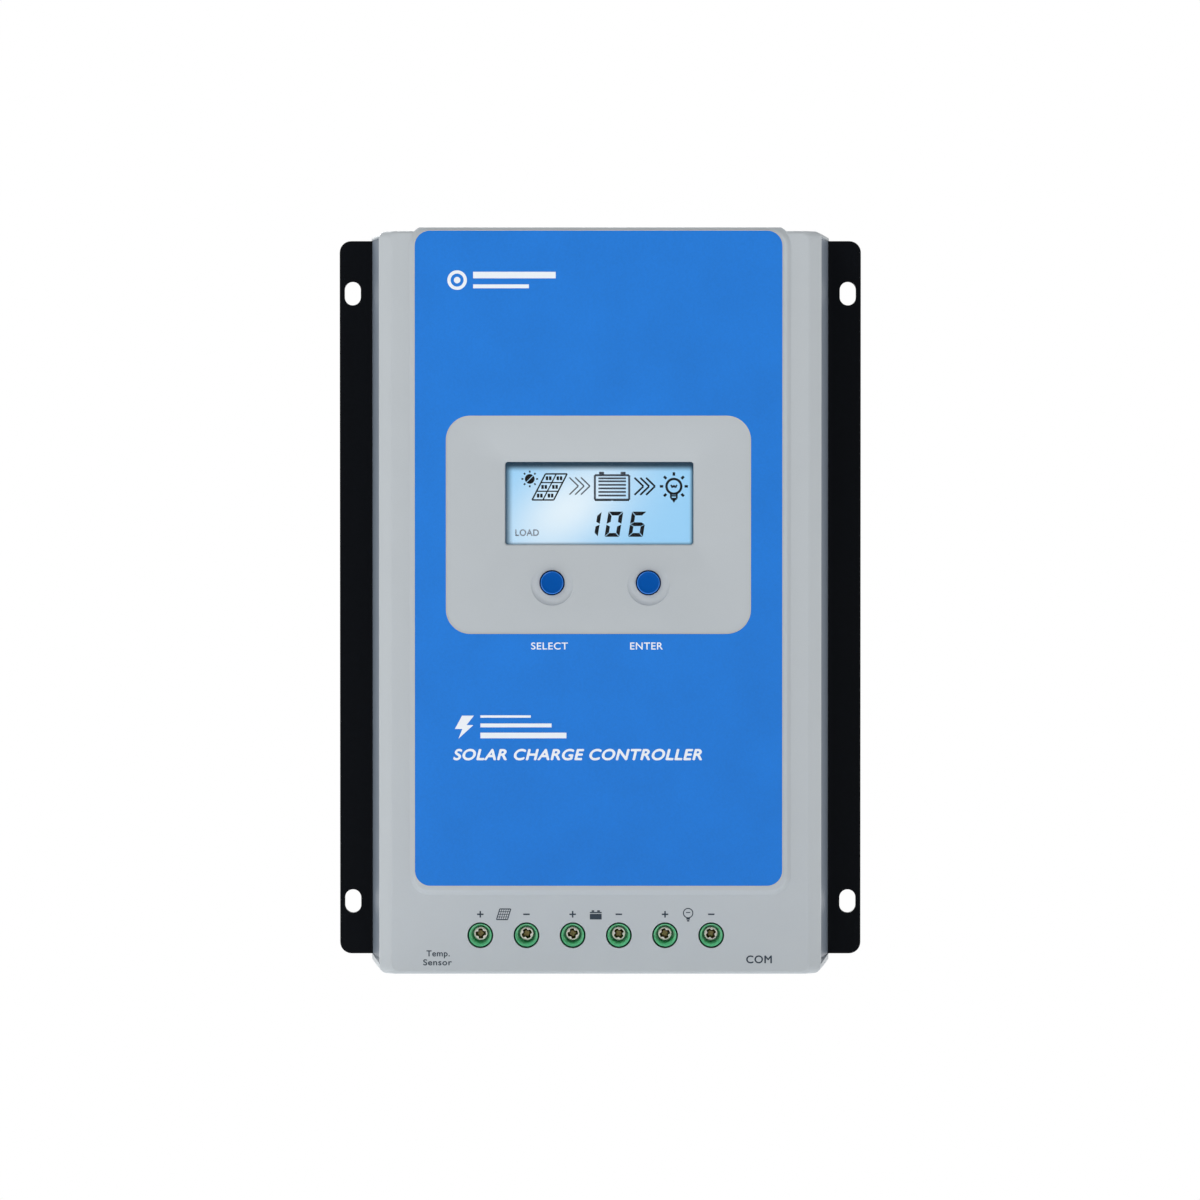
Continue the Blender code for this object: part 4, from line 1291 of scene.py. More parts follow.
def bulb_icon() -> list[Array]:
    """A lamp 5.8 across with seven rays, and a narrow base below it.

    Returns:
        The outlines of its strokes.
    """
    strokes = ring((0.0, 0.0), 2.9, 2.1)
    strokes += rays((0.0, 0.0), 3.6, 4.75, 0.85, [0, 45, 90, 135, 180, 225, 315])
    strokes += [bar((-1.0, -2.4), (-1.0, -4.1), 0.6), bar((1.0, -2.4), (1.0, -4.1), 0.6)]
    strokes += [bar((-1.1, -3.2), (1.1, -3.2), 0.5), bar((-1.0, -4.2), (1.0, -4.2), 0.7)]
    strokes.append(np.array([(-0.7, -4.5), (0.7, -4.5), (0.0, -5.6)]))
    bends = [(-1.0, 0.5), (-0.5, -0.45), (0.0, 0.35), (0.5, -0.45), (1.0, 0.5)]
    strokes += [bar(start, end, 0.55) for start, end in zip(bends, bends[1:])]
    return strokes


def sun_icon() -> list[Array]:
    """A disc 3.3 across, in two halves with a slanting gap, with eight short rays."""
    halves = [arc((0.0, 0.0), 1.65, start, start + 172, 14) for start in (49, 229)]
    return [*halves, *rays((0.0, 0.0), 2.15, 2.8, 0.55, list(range(0, 360, 45)))]


def chevrons(width: float) -> list[Array]:
    """Three arrowheads in a row, 1.95 apart, each 3 wide and 5.8 high.

    Args:
        width: Width of a stroke.

    Returns:
        The outlines of its strokes.
    """
    strokes = []
    for step in range(3):
        tip = (3.0 + 1.95 * step, 0.0)
        strokes += [bar((1.95 * step, side * 2.9), tip, width) for side in (-1, 1)]
    return strokes


def digit(segments: str, width: float = 5.0, height: float = 8.5, stroke: float = 1.28) -> list[Array]:
    """A leaning seven-segment digit.

    Args:
        segments: The letters, a to g, of the segments that show.
        width: Its width at the foot.
        height: Its height.
        stroke: The width of a segment.

    Returns:
        Its outlines.
    """
    w, h, s, m, g = width, height, stroke, height / 2, 0.14
    shapes = {
        "a": [(g, h), (w - g, h), (w - s - g, h - s), (s + g, h - s)],
        "b": [(w, h - g), (w, m + g), (w - s, m + s / 2 + g), (w - s, h - s - g)],
        "c": [(w, m - g), (w, g), (w - s, s + g), (w - s, m - s / 2 - g)],
        "d": [(s + g, s), (w - s - g, s), (w - g, 0), (g, 0)],
        "e": [(0, g), (0, m - g), (s, m - s / 2 - g), (s, s + g)],
        "f": [(0, m + g), (0, h - g), (s, h - s - g), (s, m + s / 2 + g)],
        "g": [(g, m), (s, m + s / 2), (w - s, m + s / 2), (w - g, m), (w - s, m - s / 2), (s, m - s / 2)],
    }
    outlines = [np.array(shapes[name], float) for name in segments]
    return [outline + np.outer(outline[:, 1], (DIGIT_LEAN, 0.0)) for outline in outlines]


@dataclass
class Label:
    """The blue film on the band, its white print, and the dark print on the cover."""

    middle: tuple[float, float] = (-0.55, 14.4)
    half: tuple[float, float] = (62.2, 110.7)
    corner: float = 5.4
    edge: float = 0.22
    low: float = 62.73
    top: float = 62.95
    cover: FrontCover = FrontCover()

    def build(self) -> None:
        """Makes the film, a ring of loops from its opening out to its rim, then both prints."""
        inner, outer = self.cover.keypad_half, self.half
        loops = []
        for step, z in ((0.0, self.low), (0.0, self.low + 0.1), (self.edge, self.top)):
            loops.append(
                rounded_rectangles(
                    inner[0] + 0.05 + step, inner[1] + 0.05 + step, self.cover.keypad_corner + step, z,
                    *self.cover.keypad_middle, 16,
                )
            )  # fmt: skip
        for step, z in ((self.edge, self.top), (0.0, self.low + 0.1), (0.0, self.low)):
            loops.append(
                rounded_rectangles(
                    outer[0] - step, outer[1] - step, self.corner - step, z, *self.middle, 16
                )
            )
        film = link("blue_label_film", Solid().band(np.concatenate(loops)).mesh("blue_label_film"))
        film.data.materials.append(LABEL_BLUE.material())
        film.data.materials.append(LABEL_EDGE.material())
        columns = loops[0].shape[1]
        row = np.arange(len(film.data.polygons)) // columns
        film.data.polygons.foreach_set("material_index", np.where(row == 2, 0, 1).astype(np.int32))
        finished(film, LABEL_BLUE, stands_for=("front_label",))
        self.print_label()
        self.print_cover()

    def print_label(self) -> None:
        """Prints the key names, the title, the bolt with its three bars and the plain emblem."""
        ink = Print(self.top, 0.02)
        ink.words("SELECT", (-23.3, -16.3), (-10.9, -13.9), 0.04)
        ink.words("ENTER", (10.1, -16.3), (21.1, -13.9), 0.04)
        ink.words("SOLAR CHARGE CONTROLLER", (-49.6, -53.7), (34.4, -49.8), 0.17, 0.22)
        bolt = [(1.2, 0.0), (6.2, 4.6), (3.9, 4.6), (6.4, 7.8), (2.4, 7.8), (0.0, 3.3), (2.5, 3.3)]
        ink.shapes([np.array(bolt)], (-49.0, -46.4))
        rows = ((0.6, 29.0, 1.9), (4.0, 24.0, 1.3), (7.0, 17.0, 0.8))
        bars = [bar((8.6, level), (8.6 + length, level), width) for level, length, width in rows]
        ink.shapes(bars, (-49.0, -45.9))
        ink.shapes(ring((-48.2, 108.2), 3.3, 2.2))
        ink.shapes([arc((-48.2, 108.2), 1.1, 0, 345, 23)])
        ink.shapes([bar((-42.8, 109.9), (-15.0, 109.9), 2.2), bar((-42.8, 106.1), (-24.0, 106.1), 1.3)])
        piece("label_white_print", ink, WHITE_INK)

    def print_cover(self) -> None:
        """Prints the signs and icons over the terminals and the names of the two sockets."""
        ink = Print(self.cover.face - 0.005)
        y = -105.8
        ways = [node_middle(f"terminal_screw_{way}")[0] for way in range(1, 7)]
        for way, x in enumerate(ways):
            ink.shapes([bar((x - 1.1, y), (x + 1.1, y), 0.5)])
            if way % 2 == 0:
                ink.shapes([bar((x, y + 0.25), (x, y + 1.1), 0.5), bar((x, y - 1.1), (x, y - 0.25), 0.5)])
        solar, battery, load = ((ways[i] + ways[i + 1]) / 2 for i in (0, 2, 4))
        ink.shapes(frame_bars((0.0, 0.0), (3.7, 3.6), 0.34, 1.1), (solar - 2.3, y - 1.8))
        grid = [bar((1.1 * t, 3.6 * t), (3.7 + 1.1 * t, 3.6 * t), 0.2) for t in (0.25, 0.5, 0.75)]
        grid += [bar((3.7 * t, 0.0), (3.7 * t + 1.1, 3.6), 0.2) for t in (0.2, 0.4, 0.6, 0.8)]
        ink.shapes(grid, (solar - 2.3, y - 1.8))
        ink.shapes([bar((-2.0, -0.8), (2.0, -0.8), 1.9), bar((-2.0, 0.6), (2.0, 0.6), 0.4)], (battery, y))
        ink.shapes([bar((-1.4, 1.1), (-0.5, 1.1), 0.5), bar((0.5, 1.1), (1.4, 1.1), 0.5)], (battery, y))
        ink.shapes(ring((0.0, 0.0), 1.75, 1.42), (load, y + 0.4))
        lamp_base = [bar((-0.6, -1.6), (0.6, -1.6), 0.6), bar((-0.4, -2.3), (0.4, -2.3), 0.5)]
        ink.shapes(lamp_base, (load, y + 0.1))
        ink.shapes([bar((-0.7, 0.0), (0.7, 0.0), 0.3)], (load, y + 0.6))
        ink.words("Temp.", (-58.7, -120.7), (-50.8, -118.0), 0.06)
        ink.words("Sensor", (-59.8, -123.1), (-50.1, -121.0), 0.06)
        ink.words("COM", (49.3, -122.4), (58.0, -119.7), 0.08)
        piece("cover_dark_print", ink, SLATE_INK)


# ---------------------------------------------------------------------------- display and keys


@dataclass
class Display:
    """The clear lens, and the lit glass with its segments."""

    cover: FrontCover = FrontCover()

    def build(self) -> None:
        """Makes the lens and glass to the frame's sizes, then draws the segments on the glass."""
        self.slab("clear_display_lens", "display_lens", CLEAR_LENS, 0.25)
        x, y = self.cover.window_middle
        half = self.cover.window_half
        lit = Backlit(
            "lit_display_glass", "display_glass", (42, 58, 72), 0.35, specular=0.2,
            low=(x - half[0], y - half[1]), high=(x + half[0], y + half[1]), spot=(x - 10.5, y - 1.5),
        )  # fmt: skip
        self.slab("display_glass_pane", "display_glass", lit, 0.2)
        self.segments(x, y, node_box("display_glass")[1][2])

    def slab(self, name: str, node: str, finish: Finish, edge: float) -> None:
        """Makes a pane with the node's box and chamfered edges.

        Args:
            name: The piece's name.
            node: The node that it is shown in place of.
            finish: Its finish.
            edge: Width of the chamfer.
        """
        low, high = node_box(node)
        half, middle = (high - low) / 2, (high + low) / 2
        inset = np.array([edge, 0.0, 0.0, edge])
        z = [low[2], low[2] + edge, high[2] - edge, high[2]]
        loops = rounded_rectangles(half[0] - inset, half[1] - inset, 0.8, z, middle[0], middle[1], 4)
        piece(name, Solid().loft(loops), finish, stands_for=(node,))

    def segments(self, x: float, y: float, z: float) -> None:
        """Draws sun, panel, arrows, battery, lamp and digits about the window's middle.

        Args:
            x: X of the window's middle.
            y: Y of the window's middle.
            z: Height of the glass.
        """
        dark, middling, grey = Print(z, 0.04), Print(z, 0.04), Print(z, 0.04)
        dark.shapes(sun_icon(), (x - 23.5, y + 8.2))
        dark.shapes(panel_icon(), (x - 22.7, y + 1.1))
        middling.shapes(chevrons(0.45), (x - 10.1, y + 5.8))
        dark.shapes(chevrons(0.62), (x + 11.9, y + 5.7))
        middling.shapes(frame_bars((-1.5, 1.2), (10.1, 9.45), 0.7), (x, y))
        dark.shapes([bar((-1.5, 0.95), (3.9, 0.95), 0.4), bar((4.7, 0.95), (10.1, 0.95), 0.4)], (x, y))
        middling.shapes([bar((-0.1, 10.2), (1.6, 10.2), 0.8), bar((7.2, 10.2), (8.9, 10.2), 0.8)], (x, y))
        levels = (2.6, 3.8, 5.0, 6.2, 7.4, 8.4)
        middling.shapes([bar((-0.3, level), (9.0, level), 0.62) for level in levels], (x, y))
        dark.shapes(bulb_icon(), (x + 25.2, y + 5.7))
        dark.shapes(digit("bc"), (x - 5.55, y - 11.35))
        dark.shapes(digit("abcdef"), (x + 1.75, y - 11.35))
        dark.shapes(digit("acdefg"), (x + 9.7, y - 11.35))
        grey.words("LOAD", (x - 28.4, y - 11.1), (x - 20.4, y - 8.8), 0.08)
        piece("display_dark_segments", dark, DISPLAY_INK)
        piece("display_grey_segments", middling, DISPLAY_MID)
        piece("display_pale_segments", grey, DISPLAY_GREY)


@dataclass
class Key:
    """A round push button's cap, with a bevelled rim drawn in a lighter blue as a painted highlight."""

    name: str
    radius: float = 3.83
    rim: float = 0.34

    def build(self) -> None:
        """Turns the cap: flange, barrel, bevelled rim and slightly sunk face, with the rim in a lighter blue
        as a painted highlight, and glossier.
        """
        low, high = node_box(f"{self.name}_button")
        centre = tuple(node_middle(f"{self.name}_button")[:2])
        flange = (high[0] - low[0]) / 2
        top = high[2]
        skirt = [(flange, low[2]), (flange, low[2] + 1.2), (self.radius, low[2] + 1.2)]
        shoulder = arc((self.radius - self.rim, top - self.rim), self.rim, 0, 80, 5)
        face = [(self.radius - self.rim - 0.12, top - 0.02), (self.radius - self.rim - 0.3, top - 0.12)]
        dish = [(2.0, top - 0.17), (0.6, top - 0.18)]
        loops = circles([*skirt, *shoulder, *face, *dish], centre)
        cap = link(f"{self.name}_key_cap", Solid().loft(loops).mesh(f"{self.name}_key_cap"))
        cap.data.materials.append(BUTTON_BLUE.material())
        cap.data.materials.append(BUTTON_RIM_HIGHLIGHT.material())
        row = np.arange(len(cap.data.polygons)) // loops.shape[1]
        first = len(skirt) - 1
        # The rim's rows take the lighter blue: a painted highlight all round the rim.
        is_painted_highlight = (row > first) & (row < first + len(shoulder))
        cap.data.polygons.foreach_set("material_index", is_painted_highlight.astype(np.int32))
        finished(cap, BUTTON_BLUE, f"{self.name}_key", (f"{self.name}_button",))


# ---------------------------------------------------------------------------- terminals


@dataclass(frozen=True)
class ScrewHead:
    """Sizes of a screw's head and shank, and the cross recess in the head.

    Attributes:
        head: Radius of the head.
        height: Height of the head.
        shank: Outer radius of the thread.
        pitch: Distance between threads.
        reach: Length of each arm of the cross.
        arm: Width of each arm.
        edge: Rounding of the head's rim.
    """

    head: float
    height: float
    shank: float
    pitch: float
    reach: float
    arm: float
    edge: float = 0.6

    def build(
        self, name: str, centre: Array, seat: float, tip: float, turn: float, finish: Finish,
        body: str, stands_for: tuple[str, ...],
    ) -> None:  # fmt: skip
        """Makes a screw: a thread, a turned head and a tapering cross cut into the head, whose faces get a
        darker brown as painted shade.

        The thread's radius is the shank's less 0.28 of the pitch times a triangle wave of height
        over pitch less angle over a turn, and up to 0.5 less over the last 0.6 at the tip.

        Args:
            name: The piece's name.
            centre: X and Y of the screw's line.
            seat: Height of the head's seat above the wall.
            tip: Height of the shank's end.
            turn: How far the cross is turned, in degrees.
            finish: The screw's finish.
            body: The body that it moves with.
            stands_for: The node that it is shown in place of.
        """
        out = 1.0 if seat > tip else -1.0
        count = int(abs(seat - tip) / self.pitch * 8)
        z = np.linspace(tip, seat, count)[:, None]
        angle = np.arange(32)[None, :] * 2 * np.pi / 32
        phase = (z / self.pitch - out * angle / (2 * np.pi)) % 1.0
        wave = 1.0 - np.abs(2.0 * phase - 1.0)
        end_taper = np.clip(np.abs(z - tip) / 0.6, 0.0, 1.0)
        radius = self.shank - 0.28 * self.pitch * wave - 0.5 * (1 - end_taper)
        x = centre[0] + radius * np.cos(angle)
        y = centre[1] + radius * np.sin(angle)
        thread = np.stack([x, y, np.broadcast_to(z, x.shape)], axis=-1)
        top = seat + out * self.height
        rim = arc((self.head - self.edge, self.height - self.edge), self.edge, 0, 90, 5)
        profile = np.array([(self.head - 0.1, 0.0), (self.head, 0.12), *rim, (self.head * 0.6, self.height)])
        profile[:, 1] = seat + out * profile[:, 1]
        head = circles(profile, tuple(centre[:2]), 32)
        screw = link(name, Solid().loft(np.concatenate([thread, head])).mesh(name))
        screw.data.materials.append(finish.material())
        # The cross's new faces take the darker brown: painted shade.
        carve(screw, Solid().loft(self.cross(centre, top, out, turn)), material=RECESS_SHADE.material())
        finished(screw, finish, body, stands_for)

    def cross(self, centre: Array, top: float, out: float, turn: float) -> Array:
        """Loops of the cross recess: a cross with soft ends that tapers to 0.55 at its bottom.

        Args:
            centre: X and Y of the screw's line.
            top: Height of the head's face.
            out: 1 if the head faces out from the wall, or -1.
            turn: How far it is turned, in degrees.

        Returns:
            An array (3, n, 3).
        """
        a, r = self.arm / 2, self.reach
        arm = [(a, a), (a, r), (-a, r), (-a, a), (-r, a), (-r, -a)]
        outline = np.array(arm + [(-x, -y) for x, y in arm])
        outline = softened(outline, 0.25 * self.arm, 2)
        t = np.radians(turn)
        outline = outline @ np.array([[np.cos(t), np.sin(t)], [-np.sin(t), np.cos(t)]])
        deep = 0.75 * self.height
        scale = np.array([0.55, 1.0, 1.0 + 0.45 * OVERRUN / deep])[:, None, None]
        loops = carried(outline, [top - out * deep, top, top + out * OVERRUN], ALONG_Z)
        loops[..., :2] = loops[..., :2] * scale + np.array(centre[:2])
        return loops


@dataclass
class TerminalBlock:
    """A green block of two ways: a body, a funnelled tube over each screw, and wire entries."""

    name: str
    ways: tuple[int, int]
    tube: float = 3.86
    lip: float = 3.72
    bore: float = 2.85
    seat: float = 2.05
    seat_z: float = 50.1
    web: float = 0.3
    body_top: float = 52.0
    edge: float = 0.4
    room_foot: float = 35.6
    room_half: float = 4.9
    room_ends: tuple[float, float] = (-119.8, -104.5)

    def build(self) -> None:
        """Makes the body, joins the tubes, and cuts the bores, cavities and entries, the bores in a lighter
        green as painted light.
        """
        node = f"terminal_block_{self.name}"
        low, high = node_box(node)
        half, middle = (high - low) / 2, (high + low) / 2
        edge, near, far = self.edge, *self.room_ends
        inset = np.array([edge, 0.0, 0.0, edge])
        z = [low[2], low[2] + edge, self.body_top - edge, self.body_top]
        loops = rounded_rectangles(half[0] - inset, half[1] - inset, 0.5, z, middle[0], middle[1], 4)
        block = link(f"green_block_{self.name}", Solid().loft(loops).mesh(node))
        tubes, bores, rooms, entries = Solid(), Solid(), Solid(), Solid()
        for way in self.ways:
            centre = tuple(node_middle(f"terminal_screw_{way}")[:2])
            top = high[2]
            outside = [(self.tube, self.body_top - OVERRUN)]
            outside += [*arc((self.tube - 0.15, top - 0.15), 0.15, 0, 90, 3)]
            tubes.loft(circles(outside, centre))
            head = node_box(f"terminal_screw_{way}")[1][2]
            inside = [(self.seat, self.seat_z - OVERRUN), (self.seat, self.seat_z)]
            inside += [(self.bore, self.seat_z), (self.bore, head)]
            inside += [(3.15, top - 4.5), (3.45, top - 1.6), (self.lip, top), (self.lip + 0.1, top + OVERRUN)]
            bores.loft(circles(inside, centre))
            half_x = self.room_half
            room = np.array([(-half_x, near), (half_x, near), (half_x, far), (-half_x, far)])
            rooms.loft(carried(room + (centre[0], 0.0), [self.room_foot, self.seat_z - self.web]))
            entry = rounded_rectangles(3.6, 3.0, 0.5, 0.0, centre[0], 39.7, 4)[0, :, :2]
            entries.loft(carried(entry, [-128.0, -118.0], ALONG_Y))
        block.data.materials.append(TERMINAL_GREEN.material())
        carve(block, tubes, Cut.JOIN)
        # The bores' faces take the lighter green: painted light.
        carve(block, bores, material=FUNNEL_PAINTED_LIGHT.material())
        for tool in (rooms, entries):
            carve(block, tool)
        finished(block, TERMINAL_GREEN, stands_for=(node,))


@dataclass
class Terminals:
    """The three blocks and their six clamp screws."""

    screw: ScrewHead = ScrewHead(2.36, 1.8, 1.88, 0.7, 1.75, 1.5, 0.16)

    def build(self) -> None:
        """Makes the blocks and, for each way, its screw, whose cross stands at its own angle."""
        for number, name in enumerate(("solar", "battery", "load")):
            TerminalBlock(name, (2 * number + 1, 2 * number + 2)).build()
        for way, turn in enumerate((4.0, 28.0, 12.0, 40.0, 22.0, 35.0), 1):
            node = f"terminal_screw_{way}"
            low, high = node_box(node)
            self.screw.build(
                f"clamp_screw_{way}", node_middle(node), high[2] - self.screw.height, low[2], turn,
                NICKEL, f"clamp_screw_of_way_{way}", (node,),
            )  # fmt: skip


# ---------------------------------------------------------------------------- sockets and insides


@dataclass
class Sockets:
    """The spring contacts in the data socket and the pins in the sensor socket."""

    contact_pitch: float = 1.02

    def build(self) -> None:
        """Carries a thin round wire along each contact's bend and each pin's length."""
        low, high = node_box("data_jack")
        middle = (low[0] + high[0]) / 2
        springs = Solid()
        path = np.array([(-112.6, 38.2), (-116.0, 38.8), (-119.0, 41.6), (-120.4, 42.2)])
        for number in range(8):
            x = middle + (number - 3.5) * self.contact_pitch
            section = arc((0.0, 0.0), 0.22, 0, 315, 7)
            grid = np.empty((len(path), len(section), 3))
            grid[..., 0] = x + section[:, 0]
            grid[..., 1] = path[:, :1]
            grid[..., 2] = path[:, 1:] + section[:, 1]
            springs.loft(grid)
        piece("data_socket_contacts", springs, COPPER)
        low, high = node_box("sensor_socket")
        pins = Solid()
        for side in (-1, 1):
            square = np.array([(-0.5, -0.5), (0.5, -0.5), (0.5, 0.5), (-0.5, 0.5)]) * 0.9
            centre = np.array([(low[0] + high[0]) / 2 + side * 1.9, (low[2] + high[2]) / 2])
            tip = softened(square, 0.15) * 0.6 + centre
            body = softened(square, 0.15) + centre
            loops = [carried(tip, [-123.6], ALONG_Y), carried(body, [-122.9, -116.9], ALONG_Y)]
            pins.loft(np.concatenate(loops))
        piece("sensor_socket_pins", pins, NICKEL)


@dataclass
class PowerParts:
    """Capacitors with scored tops, and inductors with their wound copper wire."""

    turns: int = 42
    wire: float = 0.4

    def build(self) -> None:
        """Makes each part in the room that its node takes up."""
        for number in (1, 2):
            self.capacitor(number)
            self.inductor(number)

    def capacitor(self, number: int) -> None:
        """Turns a can with a rolled groove at its foot, a crimped top and a bare scored lid.

        Args:
            number: Which of the two capacitors.
        """
        node = f"capacitor_{number}"
        low, high = node_box(node)
        radius, foot, top = (high[0] - low[0]) / 2, low[2], high[2]
        centre = tuple(node_middle(node)[:2])
        groove = arc((radius + 0.2, foot + 3.0), 0.9, 230, 130, 6)
        rim = arc((radius - 0.7, top - 0.7), 0.7, 0, 90, 5)
        profile = [(radius - 0.4, foot), (radius, foot + 0.4), *groove, *rim, (radius - 1.6, top - 0.25)]
        can = link(f"capacitor_can_{number}", Solid().loft(circles(profile, centre)).mesh(node))
        for outline in (bar((-5.0, 0.0), (5.0, 0.0), 0.5), bar((0.0, -5.0), (0.0, 5.0), 0.5)):
            carve(can, Solid().loft(carried(outline + centre, [top - 0.5, top + OVERRUN])))
        finished(can, SLEEVE, stands_for=(node,))

    def inductor(self, number: int) -> None:
        """Winds a ring: the section's radius swells and falls once for each turn of wire.

        The ring's point at angles a round it and b round its section is the ring radius plus
        r cos b outwards and r sin b up, where r is the section's radius less the wire's, plus the
        wire's times |cos(turns (a + 0.02 b) / 2)|.

        Args:
            number: Which of the two inductors.
        """
        node = f"inductor_{number}"
        low, high = node_box(node)
        middle = (low + high) / 2
        section = (high[2] - low[2]) / 2
        ring_radius = (high[0] - low[0]) / 2 - section
        a = np.arange(self.turns * 8)[:, None] * 2 * np.pi / (self.turns * 8)
        b = np.arange(24)[None, :] * 2 * np.pi / 24
        r = section - self.wire + self.wire * np.abs(np.cos(self.turns * (a + 0.02 * b) / 2))
        out = ring_radius + r * np.cos(b)
        grid = np.stack([out * np.cos(a), out * np.sin(a), r * np.sin(b) + 0 * a], axis=-1) + middle
        piece(f"wound_inductor_{number}", Solid().band(grid), COPPER, stands_for=(node,))


@dataclass
class Fasteners:
    """The cover's screws, driven from behind between the fins."""

    screw: ScrewHead = ScrewHead(3.3, 2.2, 1.6, 0.8, 1.9, 0.8)

    def build(self) -> None:
        """Makes each screw with its head towards the wall."""
        for number in range(1, 5):
            node = f"cover_screw_{number}"
            low, high = node_box(node)
            self.screw.build(
                f"back_screw_{number}", node_middle(node), low[2] + self.screw.height + 0.05, high[2],
                20.0 * number, NICKEL, BODY, (node,),
            )  # fmt: skip


@dataclass
class PlainNodes:
    """The frame's own nodes that stay in view, given their finish and a small edge round."""

    edge: float = 0.12

    def build(self, nodes: dict[str, bpy.types.Object]) -> None:
        """Dresses every node that nothing stands for.

        Args:
            nodes: The frame's nodes by name.
        """
        starts = {
            "display_tray": WHITE_PLASTIC,
            "display_board": BOARD,
            "main_board": BOARD,
            "ribbon_cable": WHITE_PLASTIC,
            "select_switch_stem": WHITE_PLASTIC,
            "enter_switch_stem": WHITE_PLASTIC,
            "sensor_socket": TERMINAL_GREEN,
            "terminal_cage": NICKEL,
            "terminal_contact": COPPER,
            "transistor_clamp": NICKEL,
            "board_screw": NICKEL,
            "clamp_screw": NICKEL,
            "thermal_pad": PAD,
        }
        for name, node in nodes.items():
            if node.hide_render:
                continue
            finish = next((starts[start] for start in starts if name.startswith(start)), BLACK_PLASTIC)
            if not node.data.materials:
                node.data.materials.append(None)
            for slot in node.material_slots:
                slot.material = finish.material()
            weld = node.modifiers.new("weld", "WELD")
            weld.merge_threshold = 1e-6
            bevel = node.modifiers.new("edge", "BEVEL")
            bevel.width = self.edge * MM
            bevel.segments = 2
            bevel.limit_method = "ANGLE"
            bevel.angle_limit = np.radians(SMOOTH_BELOW)
            log.info("%s: dressed in %s", name, finish.name)


# ---------------------------------------------------------------------------- studio


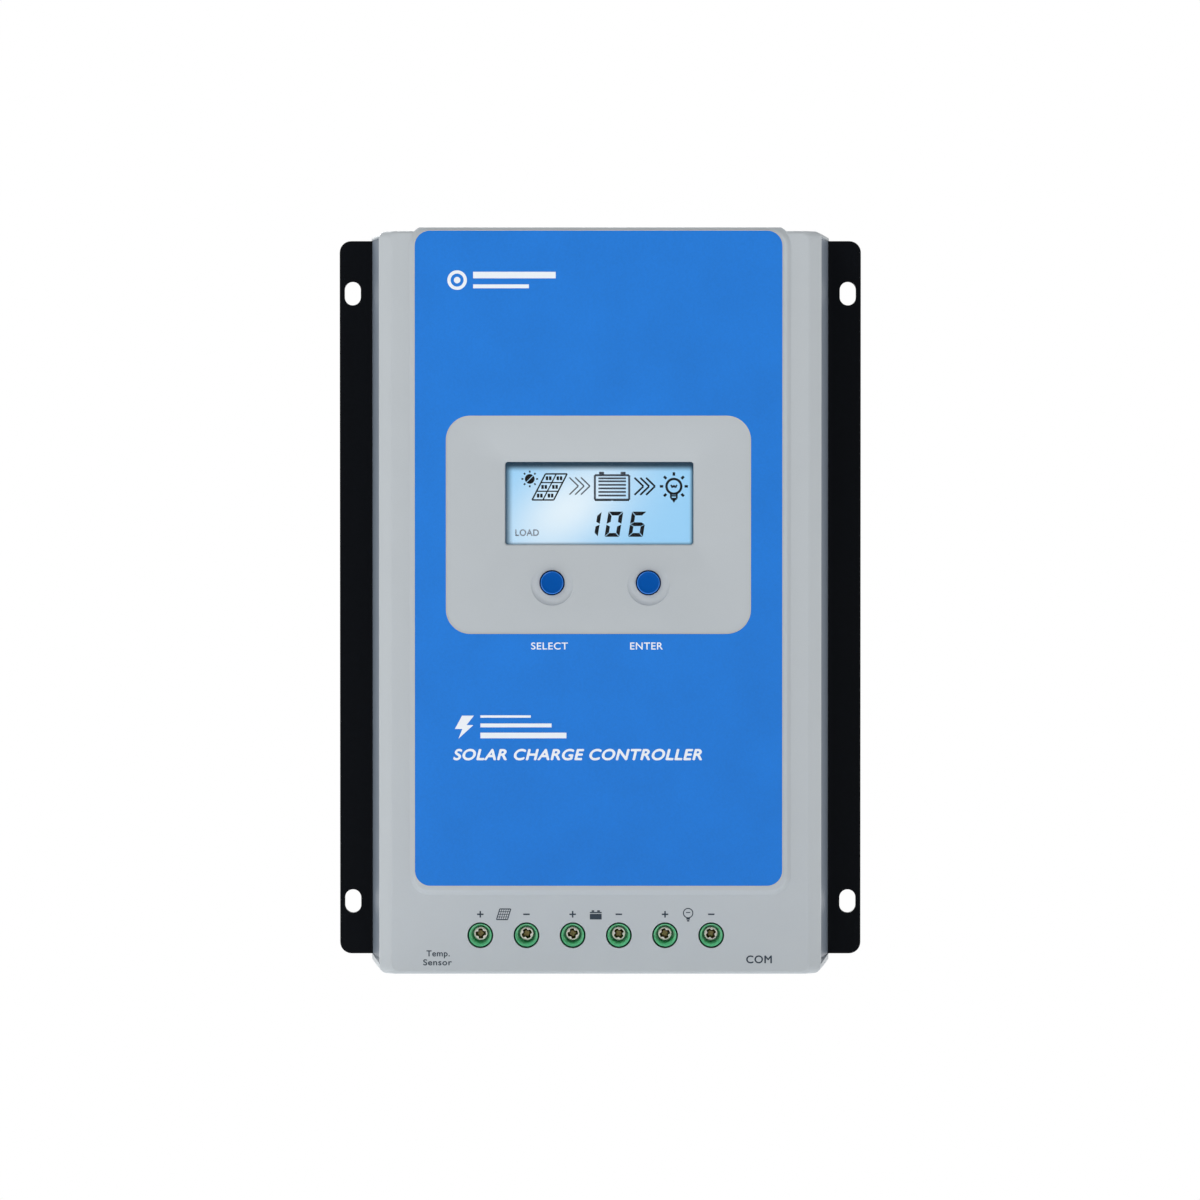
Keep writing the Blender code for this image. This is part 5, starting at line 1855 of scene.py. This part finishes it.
@dataclass
class Studio:
    """A plain pale floor, soft light and the camera."""

    distance: float = 2.45
    elevation: float = 1.17
    azimuth: float = 0.03
    view_across: float = 0.4152
    floor: float = -0.1268

    def build(self) -> None:
        """Sets up the camera, the floor, the world's light and three soft lamps."""
        scene = bpy.context.scene
        scene.view_settings.view_transform = "Standard"
        scene.view_settings.look = "None"
        self.add_camera()
        self.add_floor()
        self.add_world()
        self.add_lamp("key", (-0.72, -1.3, 1.12), 0.9, 8.3)
        self.add_lamp("fill", (0.95, -1.3, 0.35), 0.9, 1.5)
        self.add_lamp("back", (-0.5, 1.5, 0.9), 1.2, 20.0)

    def add_camera(self) -> None:
        """Looks at the middle of the mounting face from just above and to the right."""
        data = bpy.data.cameras.new("camera")
        data.sensor_width = 36.0
        data.lens = data.sensor_width * self.distance / self.view_across
        data.clip_start, data.clip_end = 0.05, 50.0
        camera = bpy.data.objects.new("camera", data)
        side, up = np.tan(np.radians([self.azimuth, self.elevation])) * self.distance
        aim = np.array([-0.0001, 0.0, -0.0009])
        camera.location = (side, -self.distance, up)
        way = np.array(camera.location) - aim
        flat = np.hypot(way[0], way[1])
        camera.rotation_euler = (np.arctan2(flat, way[2]), 0.0, np.arctan2(way[0], -way[1]))
        bpy.context.scene.collection.objects.link(camera)
        bpy.context.scene.camera = camera

    def add_floor(self) -> None:
        """Lays a white plane under the controller, clear when it is seen from below."""
        corners = np.array([(-1, -1), (1, -1), (1, 1), (-1, 1)]) * 6.0
        mesh = bpy.data.meshes.new("floor")
        points = np.column_stack([corners, np.full(4, self.floor)])
        mesh.from_pydata(points.tolist(), [], [[0, 1, 2, 3]])
        floor = link("floor", mesh)
        material = bpy.data.materials.new("pale_floor")
        material.use_nodes = True
        tree = material.node_tree
        nodes = tree.nodes
        shader, output = nodes["Principled BSDF"], nodes["Material Output"]
        shader.inputs["Base Color"].default_value = (0.9, 0.9, 0.9, 1.0)
        shader.inputs["Roughness"].default_value = 0.9
        shader.inputs["Specular IOR Level"].default_value = 0.0
        shader.inputs["Emission Color"].default_value = (1.0, 1.0, 1.0, 1.0)
        shader.inputs["Emission Strength"].default_value = 0.6
        shine, path = nodes.new("ShaderNodeEmission"), nodes.new("ShaderNodeLightPath")
        clear, side = nodes.new("ShaderNodeBsdfTransparent"), nodes.new("ShaderNodeNewGeometry")
        seen, whole = nodes.new("ShaderNodeMixShader"), nodes.new("ShaderNodeMixShader")
        link_sockets(
            tree,
            (path.outputs["Is Camera Ray"], seen.inputs["Fac"]),
            (shader.outputs["BSDF"], seen.inputs[1]),
            (shine.outputs["Emission"], seen.inputs[2]),
            (side.outputs["Backfacing"], whole.inputs["Fac"]),
            (seen.outputs["Shader"], whole.inputs[1]),
            (clear.outputs["BSDF"], whole.inputs[2]),
            (whole.outputs["Shader"], output.inputs["Surface"]),
        )
        floor.data.materials.append(material)

    def add_world(self) -> None:
        """White to the camera; as light, brighter from behind the panel than from in front."""
        world = bpy.data.worlds.new("studio")
        bpy.context.scene.world = world
        world.use_nodes = True
        tree = world.node_tree
        nodes = tree.nodes
        background, output = nodes["Background"], nodes["World Output"]
        seen, mix = nodes.new("ShaderNodeBackground"), nodes.new("ShaderNodeMixShader")
        path, coordinates = nodes.new("ShaderNodeLightPath"), nodes.new("ShaderNodeTexCoord")
        split, ramp = nodes.new("ShaderNodeSeparateXYZ"), nodes.new("ShaderNodeMapRange")
        ramp.inputs["From Min"].default_value = -1.0
        ramp.inputs["From Max"].default_value = 0.3
        ramp.inputs["To Min"].default_value = 0.14
        ramp.inputs["To Max"].default_value = 0.62
        link_sockets(
            tree,
            (coordinates.outputs["Generated"], split.inputs[0]),
            (split.outputs["Y"], ramp.inputs["Value"]),
            (ramp.outputs[0], background.inputs["Strength"]),
            (path.outputs["Is Camera Ray"], mix.inputs["Fac"]),
            (background.outputs["Background"], mix.inputs[1]),
            (seen.outputs["Background"], mix.inputs[2]),
            (mix.outputs["Shader"], output.inputs["Surface"]),
        )
        background.inputs["Color"].default_value = (1.0, 1.0, 1.0, 1.0)
        seen.inputs["Color"].default_value = (1.0, 1.0, 1.0, 1.0)
        seen.inputs["Strength"].default_value = 1.0

    def add_lamp(self, name: str, place: tuple[float, float, float], size: float, power: float) -> None:
        """Adds a square soft lamp that faces the controller.

        Args:
            name: The lamp's name.
            place: Where it stands, in metres.
            size: Its side.
            power: Its power in watts.
        """
        data = bpy.data.lights.new(name, "AREA")
        data.size = size
        data.energy = power
        lamp = bpy.data.objects.new(name, data)
        lamp.location = place
        x, y, z = place
        lamp.rotation_euler = (np.arctan2(np.hypot(x, y), z), 0.0, np.arctan2(x, -y))
        bpy.context.scene.collection.objects.link(lamp)


def main() -> None:
    logging.basicConfig(level=logging.INFO, format="%(name)s: %(message)s")
    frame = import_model()
    assemblies = [HeatSink(), FrontCover(), Label(), Display(), Key("select"), Key("enter")]
    assemblies += [Terminals(), Sockets(), PowerParts(), Fasteners()]
    for assembly in assemblies:
        assembly.build()
        log.info("built %s", type(assembly).__name__)
    PlainNodes().build(frame["nodes"])
    Studio().build()


if __name__ == "__main__":
    main()
